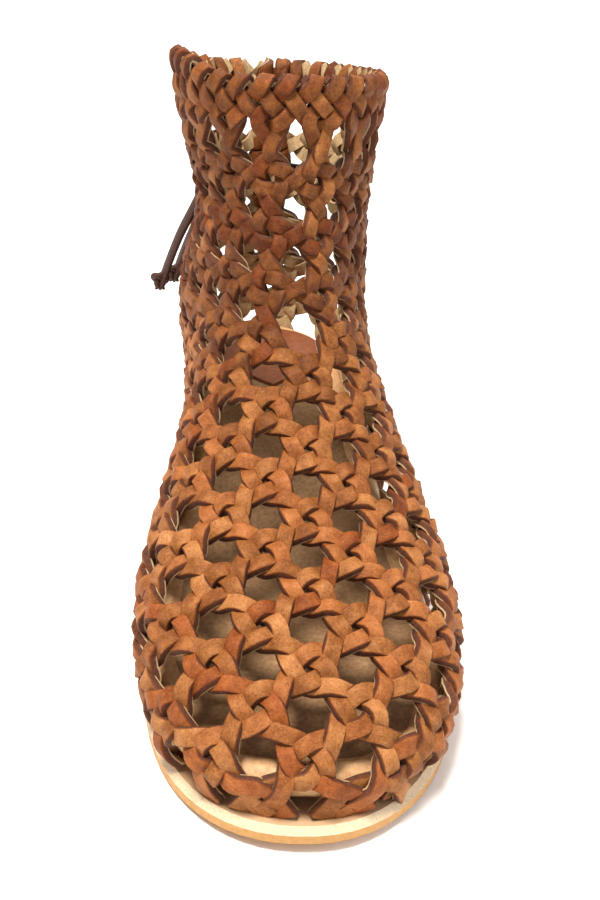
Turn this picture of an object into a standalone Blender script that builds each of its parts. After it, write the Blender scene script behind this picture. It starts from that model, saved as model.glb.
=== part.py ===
"""Hand-woven leather ankle boot with a stacked mid heel, left foot, as separate parts.

Everything is worked out in millimetres in the shoemaker's way: x across the boot (medial
side negative, lateral side positive), d back from the toe plane just ahead of the tip, z
up from the floor. `place` turns such a point into metres in the part frame: toe towards -Y,
lateral side towards +X, sole on the floor, origin under the middle of the boot.
"""
import math

import bmesh
import bpy
import numpy as np
from mathutils import Vector
from mathutils.bvhtree import BVHTree

# ---- driving sizes, millimetres -------------------------------------------------------
SOLE_THICK = 5.5           # outsole leather
TOE_SPRING = 4.0           # lift of the toe tip
SPRING_FROM = 52.0         # where the toe begins to lift
SHANK_FROM = 82.0          # where the waist begins to rise
SHANK_TO = 196.0           # where the heel seat begins
SOLE_BEVEL = 2.0           # raw bevel on the outsole's upper arris
SOLE_ARRIS = 0.6           # broken lower arris
HEEL_SEAT = 30.0           # top of the outsole over the heel
BOX_MIDDLE = 0.98          # middle of the boot's box: the lateral side bulges further
BOX_CENTRE = 126.5         # middle of its length, back from the toe plane
GAP = 0.3                  # clearance between pieces that meet
WALL = 3.0                 # woven wall, two straps deep
STRAP_PAIR = 17.2          # clusters of the net, centre to centre
COLUMNS = 8                # columns of clusters each side of the shaft
SLIT_RING = 3              # first ring that runs unbroken round the back
BAND_HEIGHT = 12.5         # close-woven collar band at the front and lateral side
BAND_MEDIAL = 6.0          # so much taller in the middle of the medial side
CLUSTER_REACH = 6.7        # cluster centre to the corner of an opening
CROSSING_REACH = 3.2       # crossing centre to the side of an opening
SLIT_EDGE = 5.0            # bound edge beside the back slit
MARGIN_LOW = 2.1           # middle of the wall where it turns in under the footbed
MARGIN_TOP = 3.9           # openings stop this far above the outsole
MARGIN_IN = 8.0            # width of the margin lasted under the footbed
SKIRT = 45.0               # how far the form is carried down past the sole
FOOT_MIDDLE = (40.0, 200.0)  # the foot's middle line, from the ball's centre to the heel's
FAN_FRONT = 40.0           # sights to the wall's inside fan out round the toe from here
FAN_BACK = 212.0           # and round the heel from here
OFF_SEAM = 0.02            # sights start this far off the seam between two faces
FOOTBED_TOP = 10.0         # top of the footbed above the outsole
INSOLE_THICK = 1.2
PAD_THICK = 1.2
PAD_FRONT = 189.0          # heel pad: tip, widest place and back
PAD_WIDEST = 218.0
PAD_BACK = 237.5
PAD_HALF = 22.0            # its half width
PAD_MIDDLE = 1.0           # set a little to the lateral side
PAD_POINT = 1.65           # its pointed-oval front: 2 is round, 1 is straight sided
LACE_WIDTH = 4.0           # flat dark lace
LACE_THICK = 1.6
LACE_HEIGHT = 110.0        # where it crosses the slit
LACE_CLEAR = 1.5           # from the middle of the wall to the middle of the lace
LACE_SPAN = 0.80           # half angle of the crossing round the back, in radians

# ---- the last: one row per section, toe to collar --------------------------------------
# front_d, front_z: the point on the centre line of the front; back_d, back_z: the point at
# the sole or the back; medial, lateral: widest half widths; medial_end, lateral_end: half
# widths at the back point; widest_at: where between them; front_round, back_round
LAST_COLUMNS = ("front_d", "front_z", "back_d", "back_z", "medial", "lateral",
                "medial_end", "lateral_end", "widest_at", "front_round", "back_round")
LAST = (
    (10.5, 9.6, 47.0, 6.4, 37.5, 36.0, 37.5, 36.0, 0.99, 2.15, 2.0),
    (10.5, 17.5, 47.0, 6.4, 39.5, 38.0, 37.5, 36.0, 0.93, 2.25, 2.0),
    (15.0, 27.0, 47.0, 6.4, 41.0, 39.5, 37.5, 36.0, 0.86, 2.30, 2.0),
    (27.0, 35.5, 47.0, 6.4, 42.0, 41.0, 37.5, 36.0, 0.76, 2.30, 2.0),
    (47.0, 43.5, 51.0, 6.2, 44.0, 44.0, 38.5, 38.5, 0.66, 2.30, 2.0),
    (66.0, 50.0, 71.0, 6.0, 46.5, 47.0, 41.5, 42.5, 0.60, 2.25, 2.0),
    (86.0, 58.5, 94.0, 6.8, 45.0, 46.5, 39.5, 43.0, 0.60, 2.15, 2.0),
    (105.0, 69.0, 121.0, 13.5, 39.5, 42.0, 33.5, 38.0, 0.60, 2.05, 2.0),
    (120.0, 80.5, 150.0, 22.5, 33.5, 36.5, 28.5, 32.5, 0.60, 2.00, 2.0),
    (131.0, 91.5, 184.0, 30.0, 29.5, 32.0, 27.0, 29.0, 0.60, 2.00, 2.0),
    (138.5, 101.5, 220.0, 30.6, 29.5, 31.0, 26.5, 27.5, 0.62, 2.00, 2.1),
    (143.0, 109.5, 237.5, 31.2, 30.5, 31.0, 17.0, 17.0, 0.62, 2.00, 2.15),
    (146.0, 116.5, 243.5, 34.0, 31.5, 31.0, 0.0, 0.0, 0.62, 2.00, 2.2),
    (148.5, 123.5, 247.0, 48.0, 31.0, 30.5, 0.0, 0.0, 0.58, 2.00, 2.2),
    (150.5, 130.0, 246.0, 64.0, 28.5, 29.5, 0.0, 0.0, 0.55, 2.00, 2.2),
    (152.0, 137.0, 241.0, 84.0, 26.0, 28.5, 0.0, 0.0, 0.52, 2.00, 2.2),
    (153.0, 146.0, 237.0, 106.0, 28.0, 29.0, 0.0, 0.0, 0.50, 2.05, 2.2),
    (154.0, 156.0, 238.0, 128.0, 32.5, 30.5, 0.0, 0.0, 0.50, 2.10, 2.2),
    (155.0, 174.0, 243.0, 160.0, 36.5, 32.5, 0.0, 0.0, 0.50, 2.15, 2.2),
)
LAST_SEAT_ROW = 12         # last row whose lower end lies on the heel seat
INSTEP_ROW = 9             # the shaft's rings are laid on the rows from here to the collar

# ---- outline of the outsole: half widths at the ball, waist and heel seat ---------------
SOLE_SIDE_COLUMNS = ("ball", "ball_at", "waist", "waist_at", "seat", "toe_round")
SOLE_SIDES = {
    "medial": (46.0, 70.0, 32.5, 155.0, 31.5, 2.3),
    "lateral": (50.0, 80.0, 36.0, 160.0, 33.0, 2.0),
}
SOLE_TIP = 4.5             # toe tip of the outsole, back from the toe plane
SOLE_END = 245.0           # back of the outsole
SEAT_AT = 205.0            # from here the heel seat rounds off to the back
SEAT_ROUND = 2.2           # roundness of the heel seat, 2 is an ellipse

# ---- the net of clusters: rings round the shaft, a middle row down the vamp -------------
RING_COUNT = 4             # rings on the shaft
RING_FRONT = 153.0         # height of the first ring at the front
RING_BACK = 136.0          # and at the back
RING_STEP = 15.0           # front distance to the second ring
RING_GROWTH = 2.5          # each further step is this much longer
RING_STEP_BACK = 16.5      # distance between rings at the back
RING_LEAN = (150.0, 242.0)  # front and back of the shaft, between which a ring slopes
SLIT_HALF = 7.6            # last cluster of a ring, from the middle of the back
CENTRE_FROM = 121.0        # top cluster of the middle row, back from the toe plane
CENTRE_STEP = 24.5         # from cluster to cluster down the middle row
CENTRE_LEAN = 5.0          # the row leans to the lateral side at the instep
CENTRE_TURN = 1.6          # and comes back by this much with every cluster
CENTRE_ROWS = 7            # clusters down the middle of the vamp
NET_ROWS = 16              # rows of clusters in all, shaft and foot; the sole cuts the last
DIAGONAL_PULL = 0.25       # how much openings resist leaning, beside the straps' pull

# ---- the heel: height, front, back, half width -----------------------------------------
HEEL_CORNER = 2.0          # bevelled corners of its straight front
HEEL_SIDE = 10.0           # end of the straight side, from the front
HEEL_ROUND_FROM = 17.0     # centre of the round back, from the front
HEEL_ROUND = 0.9           # roundness of the back: 1 is an ellipse, less is squarer
HEEL_COLUMNS = ("z", "front_d", "back_d", "half_width")
HEEL = (
    (4.3, 193.5, 239.0, 28.6),
    (14.0, 191.5, 241.0, 29.6),
    (24.2, 188.0, 243.5, 31.0),
)
TOP_PIECE = (
    (0.0, 193.6, 239.0, 28.5),
    (4.0, 193.5, 239.0, 28.6),
)

# ---- the two ends of the lace, hanging beside the medial back: points x, d, z ------------
LACE_ENDS = {
    "lace_end_back": (
        (-21.0, 231.0, 107.2),
        (-24.5, 232.5, 97.0),
        (-28.5, 234.0, 87.0),
        (-32.5, 235.0, 76.0),
        (-36.0, 235.5, 65.0),
    ),
    "lace_end_front": (
        (-25.0, 224.5, 107.2),
        (-29.5, 225.5, 97.0),
        (-34.0, 226.5, 87.0),
        (-38.0, 227.0, 76.0),
        (-41.5, 227.5, 65.0),
    ),
}

# ---- materials by piece: colour, roughness ---------------------------------------------
COLOURS = {
    "upper": ((0.47, 0.19, 0.07), 0.55),
    "outsole": ((0.60, 0.35, 0.12), 0.60),
    "footbed": ((0.66, 0.38, 0.16), 0.60),
    "insole": ((0.23, 0.15, 0.08), 0.90),
    "heel_pad": ((0.20, 0.05, 0.02), 0.50),
    "heel_block": ((0.56, 0.33, 0.20), 0.60),
    "heel_top_piece": ((0.05, 0.04, 0.03), 0.80),
    "lace_crossing": ((0.10, 0.05, 0.03), 0.60),
    "lace_end_back": ((0.10, 0.05, 0.03), 0.60),
    "lace_end_front": ((0.10, 0.05, 0.03), 0.60),
}


def smooth(value, low, high):
    """Ease from 0 at `low` to 1 at `high`."""
    t = min(max((value - low) / (high - low), 0.0), 1.0)
    return t * t * (3.0 - 2.0 * t)


def sole_top(d):
    """Height of the outsole's upper face, toe spring, arch and heel seat."""
    lift = TOE_SPRING * min(max((SPRING_FROM - d) / SPRING_FROM, 0.0), 1.0) ** 2
    return SOLE_THICK + lift + (HEEL_SEAT - SOLE_THICK) * smooth(d, SHANK_FROM, SHANK_TO)


def place(point):
    """A point (x, d, z) in millimetres as a vector in metres in the part frame."""
    return Vector((point[0] - BOX_MIDDLE, point[1] - BOX_CENTRE, point[2])) * 0.001


def between(table, k):
    """The row of a table at a fractional row number, on a curve that never overshoots."""
    rows = np.array(table, float)
    step = np.diff(rows, axis=0)
    slope = np.zeros_like(rows)
    slope[0], slope[-1] = step[0], step[-1]
    mean = (step[1:] + step[:-1]) / 2.0
    limit = 3.0 * np.minimum(abs(step[1:]), abs(step[:-1]))
    slope[1:-1] = np.where(step[1:] * step[:-1] > 0,
                           np.sign(mean) * np.minimum(abs(mean), limit), 0.0)
    i = min(int(k), len(rows) - 2)
    t = k - i
    return ((2 * t**3 - 3 * t**2 + 1) * rows[i] + (t**3 - 2 * t**2 + t) * slope[i]
            + (3 * t**2 - 2 * t**3) * rows[i + 1] + (t**3 - t**2) * slope[i + 1])


def section_point(row, t):
    """Point of one section of the last; t runs -1 (medial end) over 0 (front) to 1."""
    fd, fz, bd, bz, medial, lateral, medial_end, lateral_end, widest, n1, n2 = row
    side = -1.0 if t < 0 else 1.0
    width, end = (medial, medial_end) if t < 0 else (lateral, lateral_end)
    c, s = abs(math.cos(t * math.pi)), abs(math.sin(t * math.pi))
    if abs(t) <= 0.5:
        tau, x = widest * (1.0 - c ** (2.0 / n1)), width * s ** (2.0 / n1)
    else:
        tau = widest + (1.0 - widest) * c ** (2.0 / n2)
        x = end + (width - end) * s ** (2.0 / n2)
    return np.array((side * x, fd + (bd - fd) * tau, fz + (bz - fz) * tau))


def last_grid(per_row=8, across=96):
    """The surface of the last as a grid of points, toe to collar, medial to lateral."""
    sections = (len(LAST) - 1) * per_row + 1
    return [[section_point(between(LAST, i / per_row), -1.0 + 2.0 * j / across)
             for j in range(across + 1)] for i in range(sections)]


def last_tree():
    """The last, carried straight down past the sole, as a surface points can be laid on."""
    per_row, across = 8, 96
    grid = last_grid(per_row, across)
    wide = across + 1
    points = [p for row in grid for p in row]
    faces = [(i * wide + j, i * wide + j + 1, (i + 1) * wide + j + 1, (i + 1) * wide + j)
             for i in range(len(grid) - 1) for j in range(across)]
    seat = LAST_SEAT_ROW * per_row
    feather = [grid[i][across] for i in range(seat, -1, -1)]
    feather += [grid[0][j] for j in range(across - 1, 0, -1)]
    feather += [grid[i][0] for i in range(seat + 1)]
    for a, b in zip(feather, feather[1:]):
        first = len(points)
        down = np.array((0.0, 0.0, SKIRT))
        points += [a, a - down, b - down, b]
        faces.append((first, first + 1, first + 2, first + 3))
    return BVHTree.FromPolygons([tuple(p) for p in points], faces)


TREE = last_tree()


def snap(point):
    """The nearest point of the last."""
    return np.array(TREE.find_nearest(Vector(point))[0])


def outward(point):
    """Unit normal of the last near a point, away from the foot."""
    normal = np.array(TREE.find_nearest(Vector(point))[1])
    middle = np.array((0.0, np.clip(point[1], *FOOT_MIDDLE), point[2] - 4.0))
    return normal if np.dot(normal, np.array(point) - middle) > 0 else -normal


def ring_line(front_z, back_z, steps=48, finer=60):
    """The line of one ring on the last, from the back round the front and back again."""
    front_d, back_d = RING_LEAN
    rise = len(LAST) - 1 - INSTEP_ROW
    rows = [between(LAST, INSTEP_ROW + rise * i / finer) for i in range(finer + 1)]
    line = []
    for j in range(-steps, steps + 1):
        column = [section_point(row, j / steps) for row in rows]
        above = [p[2] - front_z - (back_z - front_z) * (p[1] - front_d) / (back_d - front_d)
                 for p in column]
        i = next(n for n in range(finer) if above[n + 1] > 0.0 or n == finer - 1)
        share = min(max(above[i] / (above[i] - above[i + 1]), 0.0), 1.0)
        line.append(column[i] * (1.0 - share) + column[i + 1] * share)
    return np.array(line)


def ring(front_z, back_z):
    """Clusters of one ring round the shaft, evenly spaced from the front, both sides."""
    line = ring_line(front_z, back_z)
    run = np.concatenate(([0.0], np.cumsum(np.linalg.norm(np.diff(line, axis=0), axis=1))))
    front = run[len(run) // 2]
    found = {}
    for side, sign, length in (("medial", -1.0, front), ("lateral", 1.0, run[-1] - front)):
        pitch = (length - SLIT_HALF) / (COLUMNS - 0.5)
        for j in range(1, COLUMNS + 1):
            at = front + sign * pitch * (j - 0.5)
            found[side, j] = np.array([np.interp(at, run, line[:, a]) for a in range(3)])
    return found


def ring_heights(i):
    """Front and back height of one ring of clusters; the steps grow towards the instep."""
    front = RING_FRONT - RING_STEP * i - RING_GROWTH * i * (i - 1) / 2.0
    return front, RING_BACK - RING_STEP_BACK * i


def middle_row():
    """Clusters stepped down the middle of the vamp, leaning a little as they go."""
    line = [section_point(between(LAST, INSTEP_ROW - 0.05 * n), 0.0)
            for n in range(20 * INSTEP_ROW + 1)]
    line += [line[-1] - np.array((0.0, 0.0, 1.0 * n)) for n in range(1, int(SKIRT))]
    line = np.array(line)
    run = np.concatenate(([0.0], np.cumsum(np.linalg.norm(np.diff(line, axis=0), axis=1))))
    start = np.interp(-CENTRE_FROM, -line[:, 1], run)
    row = []
    for k in range(CENTRE_ROWS):
        at = start + CENTRE_STEP * k
        x = CENTRE_LEAN - CENTRE_TURN * k
        row.append(np.array((x, np.interp(at, run, line[:, 1]), np.interp(at, run, line[:, 2]))))
    return row


def above_sole(point):
    return point[2] > sole_top(point[1]) - 1.0


class Net:
    """The net of clusters: named nodes, edges (pairs of straps) and cells (openings)."""

    def __init__(self):
        self.names, self.points, self.fixed = {}, [], []
        for i in range(RING_COUNT):
            for (side, j), point in ring(*ring_heights(i)).items():
                self.add((side, i, j), point, i == 0)
        for k, point in enumerate(middle_row()):
            self.add(("centre", RING_COUNT + k, -k), point, k < CENTRE_ROWS - 1)
        for i in range(RING_COUNT, NET_ROWS):
            for side, sign in (("medial", -1.0), ("lateral", 1.0)):
                for j in range(5 - i, COLUMNS + 1):
                    self.grow(side, sign, i, j)
        self.link()

    def add(self, name, point, fixed):
        if name in self.names:
            n = self.names[name]
            self.points[n], self.fixed[n] = snap(point), fixed
            return
        self.names[name] = len(self.points)
        self.points.append(snap(point))
        self.fixed.append(fixed)

    def at(self, side, i, j):
        """Index of a node; the centre line belongs to both sides."""
        if (side, i, j) in self.names:
            return self.names[side, i, j]
        return self.names.get(("centre", i, j))

    def grow(self, side, sign, i, j):
        """Lay the next cluster of a row beside its two neighbours."""
        a, b, c = self.at(side, i - 1, j), self.at(side, i, j - 1), self.at(side, i - 1, j - 1)
        if (a is None and b is None) or self.at(side, i, j) is not None:
            return
        near = [self.points[n] for n in (a, b, c) if n is not None]
        if not any(above_sole(p) for p in near):
            return
        if None not in (a, b, c):
            guess = near[0] + near[1] - near[2]
        elif a is not None and b is not None:
            guess = (near[0] + near[1]) / 2.0 + np.array((sign * 12.0, 0.0, -2.0))
        else:
            before = self.at(side, i - 2, j) if b is None else self.at(side, i, j - 2)
            if before is None:
                return
            guess = 2.0 * near[0] - self.points[before]
        point = snap(guess)
        for _ in range(6):
            for other in near[:2 if None not in (a, b) else 1]:
                off = point - other
                length = max(np.linalg.norm(off), 0.001)
                point = point + 0.5 * (STRAP_PAIR - length) * off / length
            point = snap(point)
        self.add((side, i, j), point, False)

    def link(self):
        """Edges between neighbours, and the cells they close."""
        edges, cells = set(), []
        for side, i, j in self.names:
            for part in (("medial", "lateral") if side == "centre" else (side,)):
                for other in ((i + 1, j), (i, j + 1)):
                    a, b = self.at(side, i, j), self.at(part, *other)
                    if b is not None:
                        edges.add((min(a, b), max(a, b)))
        for i in range(NET_ROWS):
            if i <= 3:
                edges.add((self.at("medial", i, 1), self.at("lateral", i, 1)))
            a, b = self.at("medial", i, COLUMNS), self.at("lateral", i, COLUMNS)
            if i >= SLIT_RING and a is not None and b is not None:
                edges.add((min(a, b), max(a, b)))
        for i in range(NET_ROWS):
            for side in ("medial", "lateral"):
                for j in range(4 - i if i >= 4 else 1, COLUMNS):
                    cell = [self.at(side, i, j), self.at(side, i, j + 1),
                            self.at(side, i + 1, j + 1), self.at(side, i + 1, j)]
                    cells.append((side, cell))
            back = [self.at("lateral", i, COLUMNS), self.at("medial", i, COLUMNS),
                    self.at("medial", i + 1, COLUMNS), self.at("lateral", i + 1, COLUMNS)]
            if i >= SLIT_RING:
                cells.append(("lateral", back))
        for i in range(3):
            cells.append(("lateral", [self.at("medial", i, 1), self.at("lateral", i, 1),
                                      self.at("lateral", i + 1, 1),
                                      self.at("medial", i + 1, 1)]))
        cells.append(("lateral", [self.at("medial", 3, 1), self.at("lateral", 3, 1),
                                  self.at("lateral", 4, 1), self.at("centre", 4, 0),
                                  self.at("medial", 4, 1)]))
        for k in range(CENTRE_ROWS - 1):
            cells.append(("lateral", [self.at("centre", 4 + k, -k),
                                      self.at("lateral", 5 + k, -k),
                                      self.at("centre", 5 + k, -k - 1),
                                      self.at("medial", 5 + k, -k)]))
        self.edges = sorted(edges)
        self.cells = [c if side == "lateral" else c[::-1]
                      for side, c in cells if None not in c and len(set(c)) == len(c)]

    def relax(self, rounds=260):
        """Let the net settle on the last until its straps are evenly long."""
        points = np.array(self.points)
        quads = np.array([c for c in self.cells if len(c) == 4])
        springs = ((np.array(self.edges), STRAP_PAIR, 1.0),
                   (np.concatenate((quads[:, (0, 2)], quads[:, (1, 3)])),
                    STRAP_PAIR * math.sqrt(2.0), DIAGONAL_PULL))
        free = [n for n, fixed in enumerate(self.fixed) if not fixed]
        for _ in range(rounds):
            pull, weight = np.zeros_like(points), np.full(len(points), 1e-6)
            for pairs, length, strength in springs:
                off = points[pairs[:, 1]] - points[pairs[:, 0]]
                now = np.maximum(np.linalg.norm(off, axis=1), 1e-6)[:, None]
                push = strength * 0.5 * (now - length) * off / now
                np.add.at(pull, pairs[:, 0], push)
                np.add.at(pull, pairs[:, 1], -push)
                np.add.at(weight, pairs[:, 0], strength)
                np.add.at(weight, pairs[:, 1], strength)
            for n in free:
                points[n] = snap(points[n] + 1.2 * pull[n] / weight[n])
        self.points = list(points)


def toward(point, goal, reach, most=0.62):
    """A point moved a set distance toward another, laid back on the last."""
    off = goal - point
    share = min(reach / max(np.linalg.norm(off), 0.001), most)
    return snap(point + off * share)


def net_sheet(net):
    """The middle surface of the net: a ring of small faces round each opening."""
    mesh = bmesh.new()
    opening = mesh.faces.layers.int.new("opening")
    made = {}

    def vert(key, point):
        if key not in made:
            made[key] = mesh.verts.new(tuple(point))
        return made[key]

    for n, cell in enumerate(net.cells):
        corners = [net.points[a] for a in cell]
        middle = snap(sum(corners) / len(corners))
        outer, inner = [], []
        for k, a in enumerate(cell):
            b = cell[(k + 1) % len(cell)]
            half = snap((net.points[a] + net.points[b]) / 2.0)
            outer.append(vert(a, net.points[a]))
            outer.append(vert((min(a, b), max(a, b)), half))
            inner.append(vert(("corner", n, k), toward(net.points[a], middle, CLUSTER_REACH)))
            inner.append(vert(("half", n, k), toward(half, middle, CROSSING_REACH, 0.45)))
        for k in range(len(outer)):
            m = (k + 1) % len(outer)
            mesh.faces.new((outer[k], outer[m], inner[m], inner[k]))
        mesh.faces.new(inner)[opening] = 1
    add_band_and_slit(mesh, net, vert)
    return mesh


def band_height(point):
    """Height of the collar band over a point of the first ring."""
    if point[0] > 0.0:
        return BAND_HEIGHT
    return BAND_HEIGHT + BAND_MEDIAL * smooth(point[1], 160.0, 185.0) * (
        1.0 - smooth(point[1], 200.0, 238.0))


def add_band_and_slit(mesh, net, vert):
    """The close-woven band above the first ring and the bound edges of the back slit."""
    edge = {}
    for side, sign in (("medial", -1.0), ("lateral", 1.0)):
        line = []
        for i in range(SLIT_RING + 1):
            a = net.at(side, i, COLUMNS)
            line.append((a, net.points[a]))
            if i < SLIT_RING:
                b = net.at(side, i + 1, COLUMNS)
                key = (min(a, b), max(a, b))
                line.append((key, snap((net.points[a] + net.points[b]) / 2.0)))
        strip = []
        for n, (key, point) in enumerate(line[:-1]):
            off = point - net.points[net.at(side, max(n // 2, 0), COLUMNS - 1)]
            off[2] = 0.0
            moved = snap(point + off / np.linalg.norm(off) * SLIT_EDGE)
            strip.append((vert(key, point), vert((side, "edge", n), moved)))
        edge[side] = strip[0]
        for (a, a_out), (b, b_out) in zip(strip, strip[1:]):
            face = (a, a_out, b_out, b) if sign > 0 else (a, b, b_out, a_out)
            mesh.faces.new(face)
        low = vert(*line[-1])
        a, a_out = strip[-1]
        mesh.faces.new((a, a_out, low) if sign > 0 else (a, low, a_out))
    base = [edge["medial"][1]]
    order = [("medial", j) for j in range(COLUMNS, 0, -1)]
    order += [("lateral", j) for j in range(1, COLUMNS + 1)]
    for (side, j), (side2, j2) in zip(order, order[1:]):
        a, b = net.at(side, 0, j), net.at(side2, 0, j2)
        half = snap((net.points[a] + net.points[b]) / 2.0)
        base += [vert(a, net.points[a]), vert((min(a, b), max(a, b)), half)]
    base += [vert(b, net.points[b]), edge["lateral"][1]]
    below = base
    for step in (1, 2):
        row = []
        for n, v in enumerate(base):
            at = np.array(below[n].co)
            up = at + np.array((0.0, 0.0, band_height(at) / 2.0))
            row.append(vert(("band", step, n), snap(up)))
        for n in range(len(row) - 1):
            mesh.faces.new((row[n], row[n + 1], below[n + 1], below[n]))
        below = row


def cut_at(mesh, height, clear):
    """Cut the sheet level with the outsole, `height` above its upper face."""
    for v in mesh.verts:
        v.co.z -= sole_top(v.co.y)
    bmesh.ops.bisect_plane(mesh, geom=mesh.verts[:] + mesh.edges[:] + mesh.faces[:],
                           dist=0.25, plane_co=(0.0, 0.0, height), plane_no=(0.0, 0.0, 1.0),
                           clear_inner=clear)
    for v in mesh.verts:
        if abs(v.co.z - height) < 0.3:
            v.co.z = height
        v.co.z += sole_top(v.co.y)


def keep_largest(mesh):
    """Drop scraps that the cuts left unjoined."""
    left, groups = set(mesh.faces), []
    while left:
        group, edge = set(), [left.pop()]
        while edge:
            face = edge.pop()
            group.add(face)
            near = {f for e in face.edges for f in e.link_faces if f in left}
            left -= near
            edge += near
        groups.append(group)
    largest = max(groups, key=len)
    scraps = [f for f in mesh.faces if f not in largest]
    bmesh.ops.delete(mesh, geom=scraps, context="FACES")


def solid_wall(mesh, thickness, lift):
    """Give a sheet its thickness: two skins and a wall round every edge."""
    mesh.verts.index_update()
    outer = [v.co + lift[v.index] * (thickness / 2.0) for v in mesh.verts]
    inner = [v.co - lift[v.index] * (thickness / 2.0) for v in mesh.verts]
    count = len(outer)
    faces = []
    for face in mesh.faces:
        loop = [v.index for v in face.verts]
        faces.append(loop)
        faces.append([n + count for n in reversed(loop)])
    for e in mesh.edges:
        if len(e.link_faces) == 1:
            loop = e.link_loops[0]
            a, b = loop.vert.index, loop.link_loop_next.vert.index
            faces.append([b, a, a + count, b + count])
    return outer + inner, faces


def upper():
    """The woven upper as one wall: net, collar band, slit edges and lasting margin."""
    net = Net()
    net.relax()
    mesh = net_sheet(net)
    opening = mesh.faces.layers.int["opening"]
    cut_at(mesh, MARGIN_TOP, False)
    cut_at(mesh, MARGIN_LOW, True)
    holes = []
    for face in mesh.faces:
        low = min(v.co.z - sole_top(v.co.y) for v in face.verts)
        if face[opening] and low > MARGIN_TOP - 0.3 and face.calc_area() > 8.0:
            holes.append(face)
    bmesh.ops.delete(mesh, geom=holes, context="FACES_ONLY")
    keep_largest(mesh)
    loose = [v for v in mesh.verts if not v.link_faces]
    bmesh.ops.delete(mesh, geom=loose, context="VERTS")
    lift = {v: Vector(outward(v.co)) for v in mesh.verts}
    rim = [e for e in mesh.edges if len(e.link_faces) == 1
           and all(abs(v.co.z - sole_top(v.co.y) - MARGIN_LOW) < 0.01 for v in e.verts)]
    turned = {}
    for v in dict.fromkeys(v for e in rim for v in e.verts):
        level = Vector((lift[v].x, lift[v].y, 0.0)).normalized()
        turned[v] = mesh.verts.new(v.co - level * MARGIN_IN)
        turned[v].co.z = v.co.z + sole_top(turned[v].co.y) - sole_top(v.co.y)
        lift[turned[v]] = Vector((0.0, 0.0, -1.0))
        lift[v] = level + Vector((0.0, 0.0, -1.0))
    for e in rim:
        a, b = e.link_loops[0].vert, e.link_loops[0].link_loop_next.vert
        mesh.faces.new((b, a, turned[a], turned[b]))
    mesh.verts.index_update()
    by_index = [None] * len(mesh.verts)
    for v, direction in lift.items():
        if v.is_valid:
            by_index[v.index] = direction
    points, faces = solid_wall(mesh, WALL, by_index)
    mesh.free()
    return points, faces


def stack(loops):
    """Points and faces of a solid from closed loops, lowest first, with flat ends."""
    count = len(loops[0])
    points = [Vector(p) for loop in loops for p in loop]
    faces = [list(reversed(range(count)))]
    for n in range(len(loops) - 1):
        low, high = n * count, (n + 1) * count
        for k in range(count):
            m = (k + 1) % count
            faces.append([low + k, low + m, high + m, high + k])
    faces.append([(len(loops) - 1) * count + k for k in range(count)])
    return points, faces


def sole_side(side, steps=(16, 12, 10, 10)):
    """One side of the outsole's edge from toe tip to back: arc, two eases, arc."""
    ball, ball_at, waist, waist_at, seat, toe_round = SOLE_SIDES[side]
    toe, into_waist, into_seat, back = steps
    points = []
    for n in range(toe):
        a = 0.5 * math.pi * n / toe
        points.append((ball * math.sin(a) ** (2.0 / toe_round),
                       ball_at - (ball_at - SOLE_TIP) * math.cos(a) ** (2.0 / toe_round)))
    for n in range(into_waist):
        d = ball_at + (waist_at - ball_at) * n / into_waist
        points.append((ball + (waist - ball) * smooth(d, ball_at, waist_at), d))
    for n in range(into_seat):
        d = waist_at + (SEAT_AT - waist_at) * n / into_seat
        points.append((waist + (seat - waist) * smooth(d, waist_at, SEAT_AT), d))
    for n in range(back + 1):
        a = 0.5 * math.pi * n / back
        points.append((seat * max(math.cos(a), 0.0) ** (2.0 / SEAT_ROUND),
                       SEAT_AT + (SOLE_END - SEAT_AT) * math.sin(a) ** (2.0 / SEAT_ROUND)))
    return points


def outline_loop(inset=0.0):
    """The outsole's edge as a closed loop, medial side from the tip, then lateral."""
    loop = [(-x, d) for x, d in sole_side("medial")]
    loop += [(x, d) for x, d in reversed(sole_side("lateral")[1:-1])]
    return inset_loop([np.array(point) for point in loop], inset)


def inset_loop(loop, inset):
    """A closed loop in plan moved inward; medial side first, so inward is to its right."""
    moved = []
    for n, (x, d) in enumerate(loop):
        (xa, da), (xb, db) = loop[n - 1], loop[(n + 1) % len(loop)]
        along = np.array((xb - xa, db - da))
        along /= np.linalg.norm(along)
        moved.append((x + along[1] * inset, d - along[0] * inset))
    return moved


def wall_loop(height, inset):
    """The inside of the woven wall at a height above the outsole, as a closed loop."""
    sides = np.linspace(FAN_FRONT + 12.0, FAN_BACK - 10.0, 13)
    rays = [(FAN_FRONT, math.radians(a)) for a in np.linspace(-90.0, 90.0, 19)]
    rays += [(d, math.radians(90.0)) for d in sides]
    rays += [(FAN_BACK, math.radians(a)) for a in np.linspace(90.0, 270.0, 15)]
    rays += [(d, math.radians(270.0)) for d in reversed(sides)]
    loop = []
    for start, angle in rays:
        ray = Vector((math.sin(angle), -math.cos(angle), 0.0))
        d = start + 30.0 * ray.y
        for _ in range(3):
            z = sole_top(d) + height
            hit = TREE.ray_cast(Vector((OFF_SEAM, start, z)), ray)[0]
            d = hit.y
        hit = hit - ray * inset
        loop.append((hit.x, hit.y, sole_top(hit.y) + height))
    return loop


def outsole():
    """The outsole: broken lower arris, upright edge, raw bevel, top."""
    edge = outline_loop()
    loops = [[(x, d, sole_top(d) - SOLE_THICK) for x, d in outline_loop(SOLE_ARRIS)],
             [(x, d, sole_top(d) - SOLE_THICK + SOLE_ARRIS) for x, d in edge],
             [(x, d, sole_top(d) - SOLE_BEVEL) for x, d in edge],
             [(x, d, sole_top(d)) for x, d in outline_loop(SOLE_BEVEL)]]
    return caps_by_rows(loops)


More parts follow.
